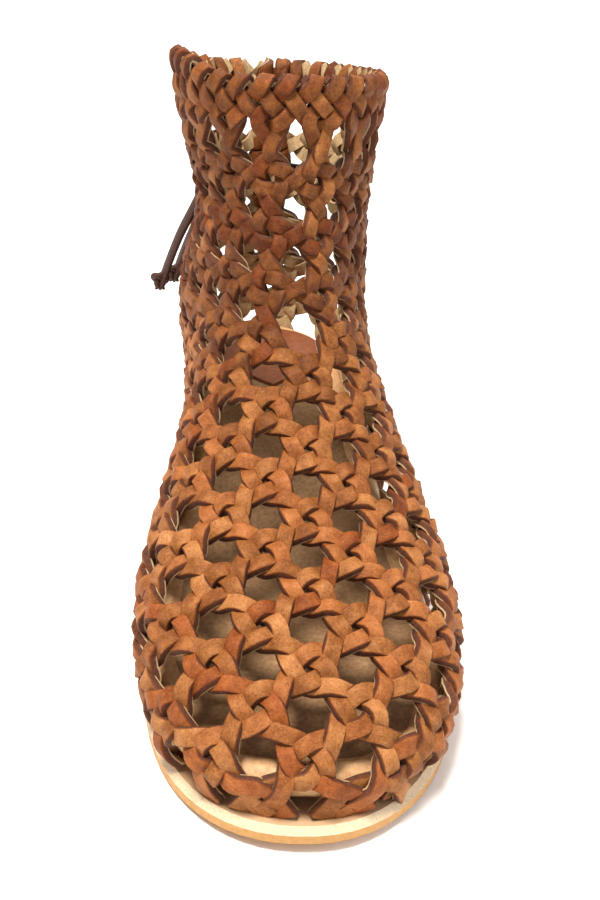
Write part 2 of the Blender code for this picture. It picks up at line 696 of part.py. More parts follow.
def caps_by_rows(loops):
    """A solid from loops whose ends follow the sole's curve: caps are strips across it."""
    points, faces = stack(loops)
    count = len(loops[0])
    top = (len(loops) - 1) * count
    caps = strip_cap(points, 0, count, True) + strip_cap(points, top, count, False)
    return points, faces[1:-1] + caps


def strip_cap(points, first, count, flip):
    """Fill a long loop with faces from side to side, tip to back."""
    tip = min(range(count), key=lambda k: points[first + k].y)
    left = [(tip + k) % count for k in range(count // 2 + 1)]
    right = [(tip - k) % count for k in range(count - count // 2 + 1)]
    faces = []
    for k in range(min(len(left), len(right)) - 1):
        loop = [left[k], left[k + 1], right[k + 1], right[k]]
        loop = [first + n for n in dict.fromkeys(loop)]
        if len(loop) >= 3:
            faces.append(loop[::-1] if flip else loop)
    return faces


def footbed():
    """Padded board on the lasting margin, filled down to the outsole inside it."""
    side = 0.5 * WALL + GAP + 1.6
    step = MARGIN_IN + 0.5 * WALL + 2.0
    board = MARGIN_LOW + 0.5 * WALL + GAP + 0.1
    loops = [wall_loop(1.5 * GAP, step), wall_loop(board, step), wall_loop(board, side + 0.4),
             wall_loop(board + 2.0, side), wall_loop(FOOTBED_TOP - 1.4, side),
             wall_loop(FOOTBED_TOP, side + 1.6)]
    return caps_by_rows(loops)


def insole():
    """Suede cover over the whole footbed."""
    low = FOOTBED_TOP + GAP
    edge = 0.5 * WALL + GAP + 2.4
    return caps_by_rows([wall_loop(low, edge), wall_loop(low + INSOLE_THICK, edge)])


def pad_edge(n, steps):
    """Half width and place of the heel pad's edge, tip to back."""
    d = PAD_FRONT + (PAD_BACK - PAD_FRONT) * 0.5 * (1.0 - math.cos(math.pi * n / steps))
    if d < PAD_WIDEST:
        ahead = (PAD_WIDEST - d) / (PAD_WIDEST - PAD_FRONT)
        return PAD_HALF * (1.0 - ahead ** PAD_POINT), d
    behind = (d - PAD_WIDEST) / (PAD_BACK - PAD_WIDEST)
    return PAD_HALF * math.sqrt(max(1.0 - behind * behind, 0.0)), d


def heel_pad():
    """Smooth leather sock under the heel, its front edge a pointed oval."""
    low = FOOTBED_TOP + 2 * GAP + INSOLE_THICK
    steps = 24
    edge = [pad_edge(n, steps) for n in range(steps + 1)]
    loops = []
    for z in (low, low + PAD_THICK):
        loop = [(PAD_MIDDLE - x, d, sole_top(d) + z) for x, d in edge]
        loop += [(PAD_MIDDLE + x, d, sole_top(d) + z) for x, d in reversed(edge[1:-1])]
        loops.append(loop)
    return caps_by_rows(loops)


def lace_line(angle, height, clear):
    """A place outside the back of the shaft and the direction away from it."""
    away = Vector((math.sin(angle), math.cos(angle), 0.0))
    hit = TREE.ray_cast(Vector((OFF_SEAM, FOOT_MIDDLE[1], height)), away)[0]
    return hit + away * clear, away


def lace_crossing():
    """The flat lace lying across the slit, outside the shaft, clear of it."""
    steps, loops = 16, []
    for n in range(steps + 1):
        angle = -LACE_SPAN + 2.0 * LACE_SPAN * n / steps
        middle, away = lace_line(angle, LACE_HEIGHT, 0.5 * WALL + LACE_CLEAR)
        up, out = Vector((0.0, 0.0, 0.5 * LACE_WIDTH)), away * (0.5 * LACE_THICK)
        loops.append([middle - up - out, middle - up + out, middle + up + out, middle + up - out])
    return stack(loops)


def cord(name, route, diameter):
    """A cord as a tube along its route, with closed ends."""
    curve = bpy.data.curves.new(name, "CURVE")
    curve.dimensions = "3D"
    curve.bevel_depth = 0.5 * diameter * 0.001
    curve.bevel_resolution = 2
    curve.use_fill_caps = True
    line = curve.splines.new("POLY")
    line.points.add(len(route) - 1)
    for point, at in zip(line.points, route):
        point.co = (*place(at), 1.0)
    piece = bpy.data.objects.new(name, curve)
    bpy.context.scene.collection.objects.link(piece)
    paint(piece.data, name)


def heel_loop(front, back, half, steps=16):
    """Outline of a heel lift: straight across the front, straight sides, round back."""
    flat = half - HEEL_CORNER
    loop = [(x, front) for x in np.linspace(flat, -flat, 9)]
    loop += [(-half, front + HEEL_CORNER), (-half, front + HEEL_SIDE)]
    for k in range(steps + 1):
        c, s = math.cos(math.pi * k / steps), math.sin(math.pi * k / steps)
        loop.append((-half * math.copysign(abs(c) ** HEEL_ROUND, c),
                     front + HEEL_ROUND_FROM
                     + (back - front - HEEL_ROUND_FROM) * s ** HEEL_ROUND))
    loop += [(half, front + HEEL_SIDE), (half, front + HEEL_CORNER)]
    return loop[::-1]


def heel_stack(table, top_follows_sole):
    """A stack of heel lifts; the topmost may follow the underside of the outsole."""
    loops = [[(x, d, z) for x, d in heel_loop(front, back, half)]
             for z, front, back, half in table]
    if top_follows_sole:
        loops[-1] = [(x, d, sole_top(d) - SOLE_THICK - GAP) for x, d, _ in loops[-1]]
    return stack(loops)


def add(name, solid):
    """Put a solid in the scene under its own name, closed and shaded by its edges."""
    points, faces = solid
    mesh = bpy.data.meshes.new(name)
    mesh.from_pydata([place(p) for p in points], [], faces)
    shape = bmesh.new()
    shape.from_mesh(mesh)
    bmesh.ops.triangulate(shape, faces=[f for f in shape.faces if len(f.verts) > 4])
    bmesh.ops.recalc_face_normals(shape, faces=shape.faces[:])
    shape.to_mesh(mesh)
    shape.free()
    mesh.shade_smooth()
    mesh.set_sharp_from_angle(angle=math.radians(40.0))
    paint(mesh, name)
    piece = bpy.data.objects.new(name, mesh)
    bpy.context.scene.collection.objects.link(piece)


def paint(data, name):
    """A plain material in the piece's own colour."""
    colour, roughness = COLOURS[name]
    material = bpy.data.materials.new(name)
    material.use_nodes = True
    shader = material.node_tree.nodes["Principled BSDF"]
    shader.inputs["Base Color"].default_value = (*colour, 1.0)
    shader.inputs["Roughness"].default_value = roughness
    data.materials.append(material)


def main():
    for old in list(bpy.data.objects):
        bpy.data.objects.remove(old)
    add("upper", upper())
    add("outsole", outsole())
    add("footbed", footbed())
    add("insole", insole())
    add("heel_pad", heel_pad())
    add("heel_block", heel_stack(HEEL, True))
    add("heel_top_piece", heel_stack(TOP_PIECE, False))
    add("lace_crossing", lace_crossing())
    for name, route in LACE_ENDS.items():
        cord(name, route, LACE_WIDTH)


main()
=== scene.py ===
# %% [markdown]
# Woven ankle boot, left foot. The real one is plaited by hand from leather straps over a
# last, then lasted on to a padded footbed, a leather sole and a stacked heel. The model could
# be one sculpted mesh, but a weave has to go over and under everywhere, so this lesson lays
# every strap along its real path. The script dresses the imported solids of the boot: it keeps
# their frame, hides the plain wall that stands for the weave, and lays real straps instead.

import math
import random

import bmesh
import bpy
import numpy as np
from mathutils import Matrix, Vector
from mathutils.bvhtree import BVHTree


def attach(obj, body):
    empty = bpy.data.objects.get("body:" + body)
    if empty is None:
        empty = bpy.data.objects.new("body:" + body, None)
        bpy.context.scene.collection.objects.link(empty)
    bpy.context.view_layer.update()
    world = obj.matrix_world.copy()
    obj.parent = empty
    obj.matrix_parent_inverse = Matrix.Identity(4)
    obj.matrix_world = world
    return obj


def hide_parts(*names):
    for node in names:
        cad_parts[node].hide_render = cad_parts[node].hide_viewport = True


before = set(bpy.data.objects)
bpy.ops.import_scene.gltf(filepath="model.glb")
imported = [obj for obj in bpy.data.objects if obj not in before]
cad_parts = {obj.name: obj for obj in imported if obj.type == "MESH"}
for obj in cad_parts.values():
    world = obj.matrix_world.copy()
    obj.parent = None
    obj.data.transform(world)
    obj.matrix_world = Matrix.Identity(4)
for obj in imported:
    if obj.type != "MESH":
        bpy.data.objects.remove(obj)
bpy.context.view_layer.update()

# %% [markdown]
# The boot is worked out in millimetres the way its solids are: x across the boot with the
# medial side negative, d back from the toe tip, z up from the floor. The tables of the last
# and of the net are the same ones that the solids use, so straps and solids lie together.

# %% Sizes of the boot
# ---- driving sizes, millimetres -------------------------------------------------------
SOLE_THICK = 5.5           # outsole leather
TOE_SPRING = 4.0           # lift of the toe tip
SPRING_FROM = 52.0         # where the toe begins to lift
SHANK_FROM = 82.0          # where the waist begins to rise
SHANK_TO = 196.0           # where the heel seat begins
HEEL_SEAT = 30.0           # top of the outsole over the heel
BOX_MIDDLE = 0.98          # middle of the boot's box: the lateral side bulges further
BOX_CENTRE = 126.5         # middle of its length, back from the toe plane
WALL = 3.0                 # woven wall, two straps deep
STRAP_PAIR = 17.2          # clusters of the net, centre to centre
COLUMNS = 8                # columns of clusters each side of the shaft
SLIT_RING = 3              # first ring that runs unbroken round the back
BAND_HEIGHT = 12.5         # close-woven collar band at the front and lateral side
BAND_MEDIAL = 6.0          # so much taller in the middle of the medial side
SLIT_EDGE = 5.0            # bound edge beside the back slit
SKIRT = 45.0               # how far the form is carried down past the sole
SOLE_SLACK = 1.0           # a cluster counts as above the sole down to this far below its face
FOOT_MIDDLE = (40.0, 200.0)  # the foot's middle line, from the ball's centre to the heel's
MIDDLE_BELOW = 4.0         # which is taken this far below the point that is looked at
FAN_FRONT = 40.0           # sights to the wall's inside fan out round the toe from here
FAN_BACK = 212.0           # and round the heel from here
SIDE_SIGHTS = (52.0, 202.0)  # between the fans the sights run square to the boot, from here
SIGHTS = (13, 19, 15)      # sights along each side, round the toe and round the heel
SIGHT_GUESS = 30.0         # the wall is first looked for this far from a fan's middle
OFF_SEAM = 0.02            # sights start this far off the seam between two faces
LACE_WIDTH = 4.0           # flat dark lace
LACE_THICK = 1.6
print("heel seat, mm:", HEEL_SEAT, "wall, mm:", WALL)

# %% [markdown]
# A shoe is built on a last, the solid form of the foot. Here the last is a table of nineteen
# sections from toe to collar. A section leans: it runs from a point on the front's middle
# line to a point at the sole or the back, and bulges to a half width on either side. Few
# rows, each with a plain meaning, are easier to correct than a sculpted mesh.

# %% The last's table
# ---- the last: one row per section, toe to collar --------------------------------------
# front_d, front_z: the point on the centre line of the front; back_d, back_z: the point at
# the sole or the back; medial, lateral: widest half widths; medial_end, lateral_end: half
# widths at the back point; widest_at: where between them; front_round, back_round
LAST_COLUMNS = ("front_d", "front_z", "back_d", "back_z", "medial", "lateral",
                "medial_end", "lateral_end", "widest_at", "front_round", "back_round")
LAST = (
    (10.5, 9.6, 47.0, 6.4, 37.5, 36.0, 37.5, 36.0, 0.99, 2.15, 2.0),
    (10.5, 17.5, 47.0, 6.4, 39.5, 38.0, 37.5, 36.0, 0.93, 2.25, 2.0),
    (15.0, 27.0, 47.0, 6.4, 41.0, 39.5, 37.5, 36.0, 0.86, 2.30, 2.0),
    (27.0, 35.5, 47.0, 6.4, 42.0, 41.0, 37.5, 36.0, 0.76, 2.30, 2.0),
    (47.0, 43.5, 51.0, 6.2, 44.0, 44.0, 38.5, 38.5, 0.66, 2.30, 2.0),
    (66.0, 50.0, 71.0, 6.0, 46.5, 47.0, 41.5, 42.5, 0.60, 2.25, 2.0),
    (86.0, 58.5, 94.0, 6.8, 45.0, 46.5, 39.5, 43.0, 0.60, 2.15, 2.0),
    (105.0, 69.0, 121.0, 13.5, 39.5, 42.0, 33.5, 38.0, 0.60, 2.05, 2.0),
    (120.0, 80.5, 150.0, 22.5, 33.5, 36.5, 28.5, 32.5, 0.60, 2.00, 2.0),
    (131.0, 91.5, 184.0, 30.0, 29.5, 32.0, 27.0, 29.0, 0.60, 2.00, 2.0),
    (138.5, 101.5, 220.0, 30.6, 29.5, 31.0, 26.5, 27.5, 0.62, 2.00, 2.1),
    (143.0, 109.5, 237.5, 31.2, 30.5, 31.0, 17.0, 17.0, 0.62, 2.00, 2.15),
    (146.0, 116.5, 243.5, 34.0, 31.5, 31.0, 0.0, 0.0, 0.62, 2.00, 2.2),
    (148.5, 123.5, 247.0, 48.0, 31.0, 30.5, 0.0, 0.0, 0.58, 2.00, 2.2),
    (150.5, 130.0, 246.0, 64.0, 28.5, 29.5, 0.0, 0.0, 0.55, 2.00, 2.2),
    (152.0, 137.0, 241.0, 84.0, 26.0, 28.5, 0.0, 0.0, 0.52, 2.00, 2.2),
    (153.0, 146.0, 237.0, 106.0, 28.0, 29.0, 0.0, 0.0, 0.50, 2.05, 2.2),
    (154.0, 156.0, 238.0, 128.0, 32.5, 30.5, 0.0, 0.0, 0.50, 2.10, 2.2),
    (155.0, 174.0, 243.0, 160.0, 36.5, 32.5, 0.0, 0.0, 0.50, 2.15, 2.2),
)
LAST_SEAT_ROW = 12         # last row whose lower end lies on the heel seat
INSTEP_ROW = 9             # the shaft's rings are laid on the rows from here to the collar
print("last:", len(LAST), "sections of", len(LAST_COLUMNS), "sizes")

# %% [markdown]
# The weave is an open net of clusters, small knots of four straps. Its layout needs only a
# few sizes: rings round the shaft at even steps, and a row down the middle of the vamp.

# %% The net's sizes
# ---- the net of clusters: rings round the shaft, a middle row down the vamp -------------
RING_COUNT = 4             # rings on the shaft
RING_FRONT = 153.0         # height of the first ring at the front
RING_BACK = 136.0          # and at the back
RING_STEP = 15.0           # front distance to the second ring
RING_GROWTH = 2.5          # each further step is this much longer
RING_STEP_BACK = 16.5      # distance between rings at the back
RING_LEAN = (150.0, 242.0)  # front and back of the shaft, between which a ring slopes
SLIT_HALF = 7.6            # last cluster of a ring, from the middle of the back
FINE_STEP = 0.05           # rows of the last are blended at this step to draw a smooth line
CENTRE_FROM = 121.0        # top cluster of the middle row, back from the toe plane
CENTRE_STEP = 24.5         # from cluster to cluster down the middle row
CENTRE_LEAN = 5.0          # the row leans to the lateral side at the instep
CENTRE_TURN = 1.6          # and comes back by this much with every cluster
CENTRE_ROWS = 7            # clusters down the middle of the vamp
NET_ROWS = 16              # rows of clusters in all, shaft and foot; the sole cuts the last
BESIDE = (12.0, -2.0)      # first guess for a row's next cluster: outward, and down
DIAGONAL_PULL = 0.25       # how much openings resist leaning, beside the straps' pull
RELAX_ROUNDS = 260         # rounds in which the net settles
OVER_PULL = 1.2            # each round moves a cluster a little past its balance
print("clusters round the shaft:", 2 * COLUMNS, "in a ring, in", RING_COUNT, "rings")

# %% [markdown]
# The lace's two ends hang freely. A hanging end has no rule but gravity, so its route is a
# short list of given places, the same one that its solid follows.

# %% The lace's routes
# ---- the two ends of the lace, hanging beside the medial back: points x, d, z ------------
LACE_ENDS = {
    "lace_end_back": (
        (-21.0, 231.0, 107.2),
        (-24.5, 232.5, 97.0),
        (-28.5, 234.0, 87.0),
        (-32.5, 235.0, 76.0),
        (-36.0, 235.5, 65.0),
    ),
    "lace_end_front": (
        (-25.0, 224.5, 107.2),
        (-29.5, 225.5, 97.0),
        (-34.0, 226.5, 87.0),
        (-38.0, 227.0, 76.0),
        (-41.5, 227.5, 65.0),
    ),
}
print("lace ends:", ", ".join(LACE_ENDS))

# %% [markdown]
# Three small helpers come first: an ease between two values, the height of the outsole's
# upper face from toe spring over arch to heel seat, and the step from the shoemaker's
# millimetres to metres in the frame.

# %% Heights and places
def smooth(value, low, high):
    """Ease from 0 at `low` to 1 at `high`."""
    t = min(max((value - low) / (high - low), 0.0), 1.0)
    return t * t * (3.0 - 2.0 * t)


def sole_top(d):
    """Height of the outsole's upper face, toe spring, arch and heel seat."""
    lift = TOE_SPRING * min(max((SPRING_FROM - d) / SPRING_FROM, 0.0), 1.0) ** 2
    return SOLE_THICK + lift + (HEEL_SEAT - SOLE_THICK) * smooth(d, SHANK_FROM, SHANK_TO)


def place(point):
    """A point (x, d, z) in millimetres as a vector in metres in the part frame."""
    return Vector((point[0] - BOX_MIDDLE, point[1] - BOX_CENTRE, point[2])) * 0.001


print("toe tip lifted, mm:", round(sole_top(0.0) - SOLE_THICK, 1))

# %% [markdown]
# Many things here follow a line: rings, the middle row, the braid, the whipping. Three
# helpers serve them all: the distance run along a line, the point at a distance, and a
# direction made one long. A curve object could answer the same, but only once it exists.

# %% Lines and directions
def run_along(line):
    """Distance from the start of a line to each of its points."""
    steps = np.linalg.norm(np.diff(line, axis=0), axis=1)
    return np.concatenate(([0.0], np.cumsum(steps)))


def point_at(line, run, at):
    """The point of a line at a distance from its start."""
    return np.array([np.interp(at, run, line[:, a]) for a in range(3)])


def unit(way):
    """The same direction, one long."""
    return way / np.linalg.norm(way)


BEND = np.array(((0.0, 0.0, 0.0), (3.0, 0.0, 0.0), (3.0, 4.0, 0.0)))
print("a line of 3 mm and then 4 mm runs, mm:", run_along(BEND)[-1])

# %% [markdown]
# A smooth form comes from few rows when the rows in between are blended. The blend used here
# never swings past a row, as a plain spline would, so a waist stays a waist. Every section is
# a pair of quarter ovals on each side, with a roundness for its front and its back.

# %% Sections of the last
def between(table, k):
    """The row of a table at a fractional row number, on a curve that never overshoots."""
    rows = np.array(table, float)
    step = np.diff(rows, axis=0)
    slope = np.zeros_like(rows)
    slope[0], slope[-1] = step[0], step[-1]
    mean = (step[1:] + step[:-1]) / 2.0
    limit = 3.0 * np.minimum(abs(step[1:]), abs(step[:-1]))
    slope[1:-1] = np.where(step[1:] * step[:-1] > 0,
                           np.sign(mean) * np.minimum(abs(mean), limit), 0.0)
    i = min(int(k), len(rows) - 2)
    t = k - i
    return ((2 * t**3 - 3 * t**2 + 1) * rows[i] + (t**3 - 2 * t**2 + t) * slope[i]
            + (3 * t**2 - 2 * t**3) * rows[i + 1] + (t**3 - t**2) * slope[i + 1])


def section_point(row, t):
    """Point of one section of the last; t runs -1 (medial end) over 0 (front) to 1."""
    fd, fz, bd, bz, medial, lateral, medial_end, lateral_end, widest, n1, n2 = row
    side = -1.0 if t < 0 else 1.0
    width, end = (medial, medial_end) if t < 0 else (lateral, lateral_end)
    c, s = abs(math.cos(t * math.pi)), abs(math.sin(t * math.pi))
    if abs(t) <= 0.5:
        tau, x = widest * (1.0 - c ** (2.0 / n1)), width * s ** (2.0 / n1)
    else:
        tau = widest + (1.0 - widest) * c ** (2.0 / n2)
        x = end + (width - end) * s ** (2.0 / n2)
    return np.array((side * x, fd + (bd - fd) * tau, fz + (bz - fz) * tau))


def last_grid(per_row=8, across=96):
    """The surface of the last as a grid of points, toe to collar, medial to lateral."""
    sections = (len(LAST) - 1) * per_row + 1
    return [[section_point(between(LAST, i / per_row), -1.0 + 2.0 * j / across)
             for j in range(across + 1)] for i in range(sections)]


print("top section's front, mm:", [round(float(v), 1) for v in section_point(LAST[-1], 0.0)])

# %% [markdown]
# A search tree over the last's surface lets any point be laid on it, and tells which way
# faces away from the foot. Modifiers could shrink-wrap finished meshes, but the straps need
# their place and direction while they are being laid.

# %% The last's surface
def last_tree():
    """The last, carried straight down past the sole, as a surface points can be laid on."""
    per_row, across = 8, 96
    grid = last_grid(per_row, across)
    wide = across + 1
    points = [p for row in grid for p in row]
    faces = [(i * wide + j, i * wide + j + 1, (i + 1) * wide + j + 1, (i + 1) * wide + j)
             for i in range(len(grid) - 1) for j in range(across)]
    seat = LAST_SEAT_ROW * per_row
    feather = [grid[i][across] for i in range(seat, -1, -1)]
    feather += [grid[0][j] for j in range(across - 1, 0, -1)]
    feather += [grid[i][0] for i in range(seat + 1)]
    for a, b in zip(feather, feather[1:]):
        first = len(points)
        down = np.array((0.0, 0.0, SKIRT))
        points += [a, a - down, b - down, b]
        faces.append((first, first + 1, first + 2, first + 3))
    return BVHTree.FromPolygons([tuple(p) for p in points], faces)


TREE = last_tree()


def snap(point):
    """The nearest point of the last."""
    return np.array(TREE.find_nearest(Vector(point))[0])


def outward(point):
    """Unit normal of the last near a point, away from the foot."""
    normal = np.array(TREE.find_nearest(Vector(point))[1])
    middle = np.array((0.0, np.clip(point[1], *FOOT_MIDDLE), point[2] - MIDDLE_BELOW))
    return normal if np.dot(normal, np.array(point) - middle) > 0 else -normal


print("a point laid on the last:", [round(float(v), 1) for v in snap((0.0, 80.0, 80.0))])

# %% [markdown]
# The straps of the shaft cross in rings. A ring slopes from front to back, and its clusters
# are evenly spaced along it, from the front's middle to the slit at the back.

# %% Rings round the shaft
def ring_line(front_z, back_z, steps=48, finer=60):
    """The line of one ring on the last, from the back round the front and back again."""
    front_d, back_d = RING_LEAN
    rise = len(LAST) - 1 - INSTEP_ROW
    rows = [between(LAST, INSTEP_ROW + rise * i / finer) for i in range(finer + 1)]
    line = []
    for j in range(-steps, steps + 1):
        column = [section_point(row, j / steps) for row in rows]
        above = [p[2] - front_z - (back_z - front_z) * (p[1] - front_d) / (back_d - front_d)
                 for p in column]
        i = next(n for n in range(finer) if above[n + 1] > 0.0 or n == finer - 1)
        share = min(max(above[i] / (above[i] - above[i + 1]), 0.0), 1.0)
        line.append(column[i] * (1.0 - share) + column[i + 1] * share)
    return np.array(line)


def ring(front_z, back_z):
    """Clusters of one ring round the shaft, evenly spaced from the front, both sides."""
    line = ring_line(front_z, back_z)
    run = run_along(line)
    front = run[len(run) // 2]
    found = {}
    for side, sign, length in (("medial", -1.0, front), ("lateral", 1.0, run[-1] - front)):
        pitch = (length - SLIT_HALF) / (COLUMNS - 0.5)
        for j in range(1, COLUMNS + 1):
            at = front + sign * pitch * (j - 0.5)
            found[side, j] = point_at(line, run, at)
    return found


def ring_heights(i):
    """Front and back height of one ring of clusters; the steps grow towards the instep."""
    front = RING_FRONT - RING_STEP * i - RING_GROWTH * i * (i - 1) / 2.0
    return front, RING_BACK - RING_STEP_BACK * i


print("clusters in the top ring:", len(ring(*ring_heights(0))))

# %% [markdown]
# Down the vamp, clusters step along the middle line from the instep to the toe, leaning a
# little to the lateral side as they go.

# %% The middle row of the vamp
def middle_row():
    """Clusters stepped down the middle of the vamp, leaning a little as they go."""
    line = [section_point(between(LAST, INSTEP_ROW - FINE_STEP * n), 0.0)
            for n in range(round(INSTEP_ROW / FINE_STEP) + 1)]
    line += [line[-1] - np.array((0.0, 0.0, float(n))) for n in range(1, int(SKIRT))]
    line = np.array(line)
    run = run_along(line)
    start = np.interp(-CENTRE_FROM, -line[:, 1], run)
    row = []
    for k in range(CENTRE_ROWS):
        spot = point_at(line, run, start + CENTRE_STEP * k)
        spot[0] = CENTRE_LEAN - CENTRE_TURN * k
        row.append(spot)
    return row


def above_sole(point):
    """Whether a cluster stands clear of the outsole, or nearly so."""
    return point[2] > sole_top(point[1]) - SOLE_SLACK


print("clusters down the vamp:", len(middle_row()))

# %% [markdown]
# The rest of the net grows outward from the rings and the middle row, cluster by cluster,
# each laid one strap's length from its two neighbours and dropped on the last.

# %% The clusters
class Clusters:
    """The clusters of the net, each under the name of its side, row and column."""

    def __init__(self):
        self.names, self.points, self.fixed = {}, [], []
        for i in range(RING_COUNT):
            for (side, j), point in ring(*ring_heights(i)).items():
                self.add((side, i, j), point, i == 0)
        for k, point in enumerate(middle_row()):
            self.add(("centre", RING_COUNT + k, -k), point, k < CENTRE_ROWS - 1)
        for i in range(RING_COUNT, NET_ROWS):
            for side, sign in (("medial", -1.0), ("lateral", 1.0)):
                for j in range(RING_COUNT + 1 - i, COLUMNS + 1):
                    self.grow(side, sign, i, j)

    def add(self, name, point, fixed):
        """Lay a cluster on the last under its name, or move the one that has the name."""
        if name in self.names:
            n = self.names[name]
            self.points[n], self.fixed[n] = snap(point), fixed
            return
        self.names[name] = len(self.points)
        self.points.append(snap(point))
        self.fixed.append(fixed)

    def at(self, side, i, j):
        """Number of a cluster; the middle row belongs to both sides."""
        if (side, i, j) in self.names:
            return self.names[side, i, j]
        return self.names.get(("centre", i, j))

    def grow(self, side, sign, i, j):
        """Lay the next cluster of a row beside its two neighbours."""
        a, b, c = self.at(side, i - 1, j), self.at(side, i, j - 1), self.at(side, i - 1, j - 1)
        if (a is None and b is None) or self.at(side, i, j) is not None:
            return
        near = [self.points[n] for n in (a, b, c) if n is not None]
        if not any(above_sole(p) for p in near):
            return
        if None not in (a, b, c):
            guess = near[0] + near[1] - near[2]
        elif a is not None and b is not None:
            guess = (near[0] + near[1]) / 2.0 + np.array((sign * BESIDE[0], 0.0, BESIDE[1]))
        else:
            before = self.at(side, i - 2, j) if b is None else self.at(side, i, j - 2)
            if before is None:
                return
            guess = 2.0 * near[0] - self.points[before]
        point = snap(guess)
        for _ in range(6):
            for other in near[:2 if None not in (a, b) else 1]:
                off = point - other
                length = max(np.linalg.norm(off), 0.001)
                point = point + 0.5 * (STRAP_PAIR - length) * off / length
            point = snap(point)
        self.add((side, i, j), point, False)


print("a strap pair runs, mm:", STRAP_PAIR)

# %% [markdown]
# Clusters that are neighbours are joined by pairs of straps, and four pairs close a cell, the
# opening between them. At the front of the ankle, where the last ring meets the middle row,
# one opening has five. The slit at the back is where no pairs are laid across.

# %% Links between clusters
class Links(Clusters):
    """The clusters with their edges (pairs of straps) and cells (openings)."""

    def __init__(self):
        super().__init__()
        self.link()

    def link(self):
        """Edges between neighbours, and the cells they close."""
        edges, cells, last = set(), [], RING_COUNT - 1
        for side, i, j in self.names:
            for part in (("medial", "lateral") if side == "centre" else (side,)):
                for other in ((i + 1, j), (i, j + 1)):
                    a, b = self.at(side, i, j), self.at(part, *other)
                    if b is not None:
                        edges.add((min(a, b), max(a, b)))
        for i in range(NET_ROWS):
            if i <= last:
                edges.add((self.at("medial", i, 1), self.at("lateral", i, 1)))
            a, b = self.at("medial", i, COLUMNS), self.at("lateral", i, COLUMNS)
            if i >= SLIT_RING and a is not None and b is not None:
                edges.add((min(a, b), max(a, b)))
        for i in range(NET_ROWS):
            for side in ("medial", "lateral"):
                for j in range(min(RING_COUNT - i, 1), COLUMNS):
                    cell = [self.at(side, i, j), self.at(side, i, j + 1),
                            self.at(side, i + 1, j + 1), self.at(side, i + 1, j)]
                    cells.append((side, cell))
            back = [self.at("lateral", i, COLUMNS), self.at("medial", i, COLUMNS),
                    self.at("medial", i + 1, COLUMNS), self.at("lateral", i + 1, COLUMNS)]
            if i >= SLIT_RING:
                cells.append(("lateral", back))
        for i in range(last):
            cells.append(("lateral", [self.at("medial", i, 1), self.at("lateral", i, 1),
                                      self.at("lateral", i + 1, 1),
                                      self.at("medial", i + 1, 1)]))
        below = RING_COUNT
        cells.append(("lateral", [self.at("medial", last, 1), self.at("lateral", last, 1),
                                  self.at("lateral", below, 1), self.at("centre", below, 0),
                                  self.at("medial", below, 1)]))
        for k in range(CENTRE_ROWS - 1):
            cells.append(("lateral", [self.at("centre", below + k, -k),
                                      self.at("lateral", below + 1 + k, -k),
                                      self.at("centre", below + 1 + k, -k - 1),
                                      self.at("medial", below + 1 + k, -k)]))
        self.edges = sorted(edges)
        self.cells = [c if side == "lateral" else c[::-1]
                      for side, c in cells if None not in c and len(set(c)) == len(c)]


print("the slit runs down to ring number", SLIT_RING + 1)

# %% [markdown]
# Then the net relaxes: every strap pair pulls or pushes like a weak spring, and so do the
# cells' diagonals, until all are about equally long, the way a hand pulls a weave tight on
# the last. A cloth simulation could do it too, but springs on the last are quicker and come
# out the same every time.

# %% Relaxing the net
class Net(Links):
    """The net of clusters, settled on the last."""

    def relax(self, rounds=RELAX_ROUNDS):
        """Let the net settle on the last until its straps are evenly long."""
        points = np.array(self.points)
        quads = np.array([c for c in self.cells if len(c) == 4])
        springs = ((np.array(self.edges), STRAP_PAIR, 1.0),
                   (np.concatenate((quads[:, (0, 2)], quads[:, (1, 3)])),
                    STRAP_PAIR * math.sqrt(2.0), DIAGONAL_PULL))
        free = [n for n, fixed in enumerate(self.fixed) if not fixed]
        for _ in range(rounds):
            pull, weight = np.zeros_like(points), np.full(len(points), 1e-6)
            for pairs, length, strength in springs:
                off = points[pairs[:, 1]] - points[pairs[:, 0]]
                now = np.maximum(np.linalg.norm(off, axis=1), 1e-6)[:, None]
                push = strength * 0.5 * (now - length) * off / now
                np.add.at(pull, pairs[:, 0], push)
                np.add.at(pull, pairs[:, 1], -push)
                np.add.at(weight, pairs[:, 0], strength)
                np.add.at(weight, pairs[:, 1], strength)
            for n in free:
                points[n] = snap(points[n] + OVER_PULL * pull[n] / weight[n])
        self.points = list(points)


print("openings resist leaning by:", DIAGONAL_PULL)

# %% [markdown]
# Two more helpers belong to the form. The collar band is taller in the middle of the medial
# side, and the inside of the wall, level with the footbed, bounds everything that lies on it.

# %% Band and inside of the wall
BAND_RISES = (160.0, 185.0)  # on the medial side the band grows taller between these places
BAND_FALLS = (200.0, 238.0)  # and comes down again between these, all back from the toe


def band_height(point):
    """Height of the collar band over a point of the first ring."""
    if point[0] > 0.0:
        return BAND_HEIGHT
    return BAND_HEIGHT + BAND_MEDIAL * smooth(point[1], *BAND_RISES) * (
        1.0 - smooth(point[1], *BAND_FALLS))


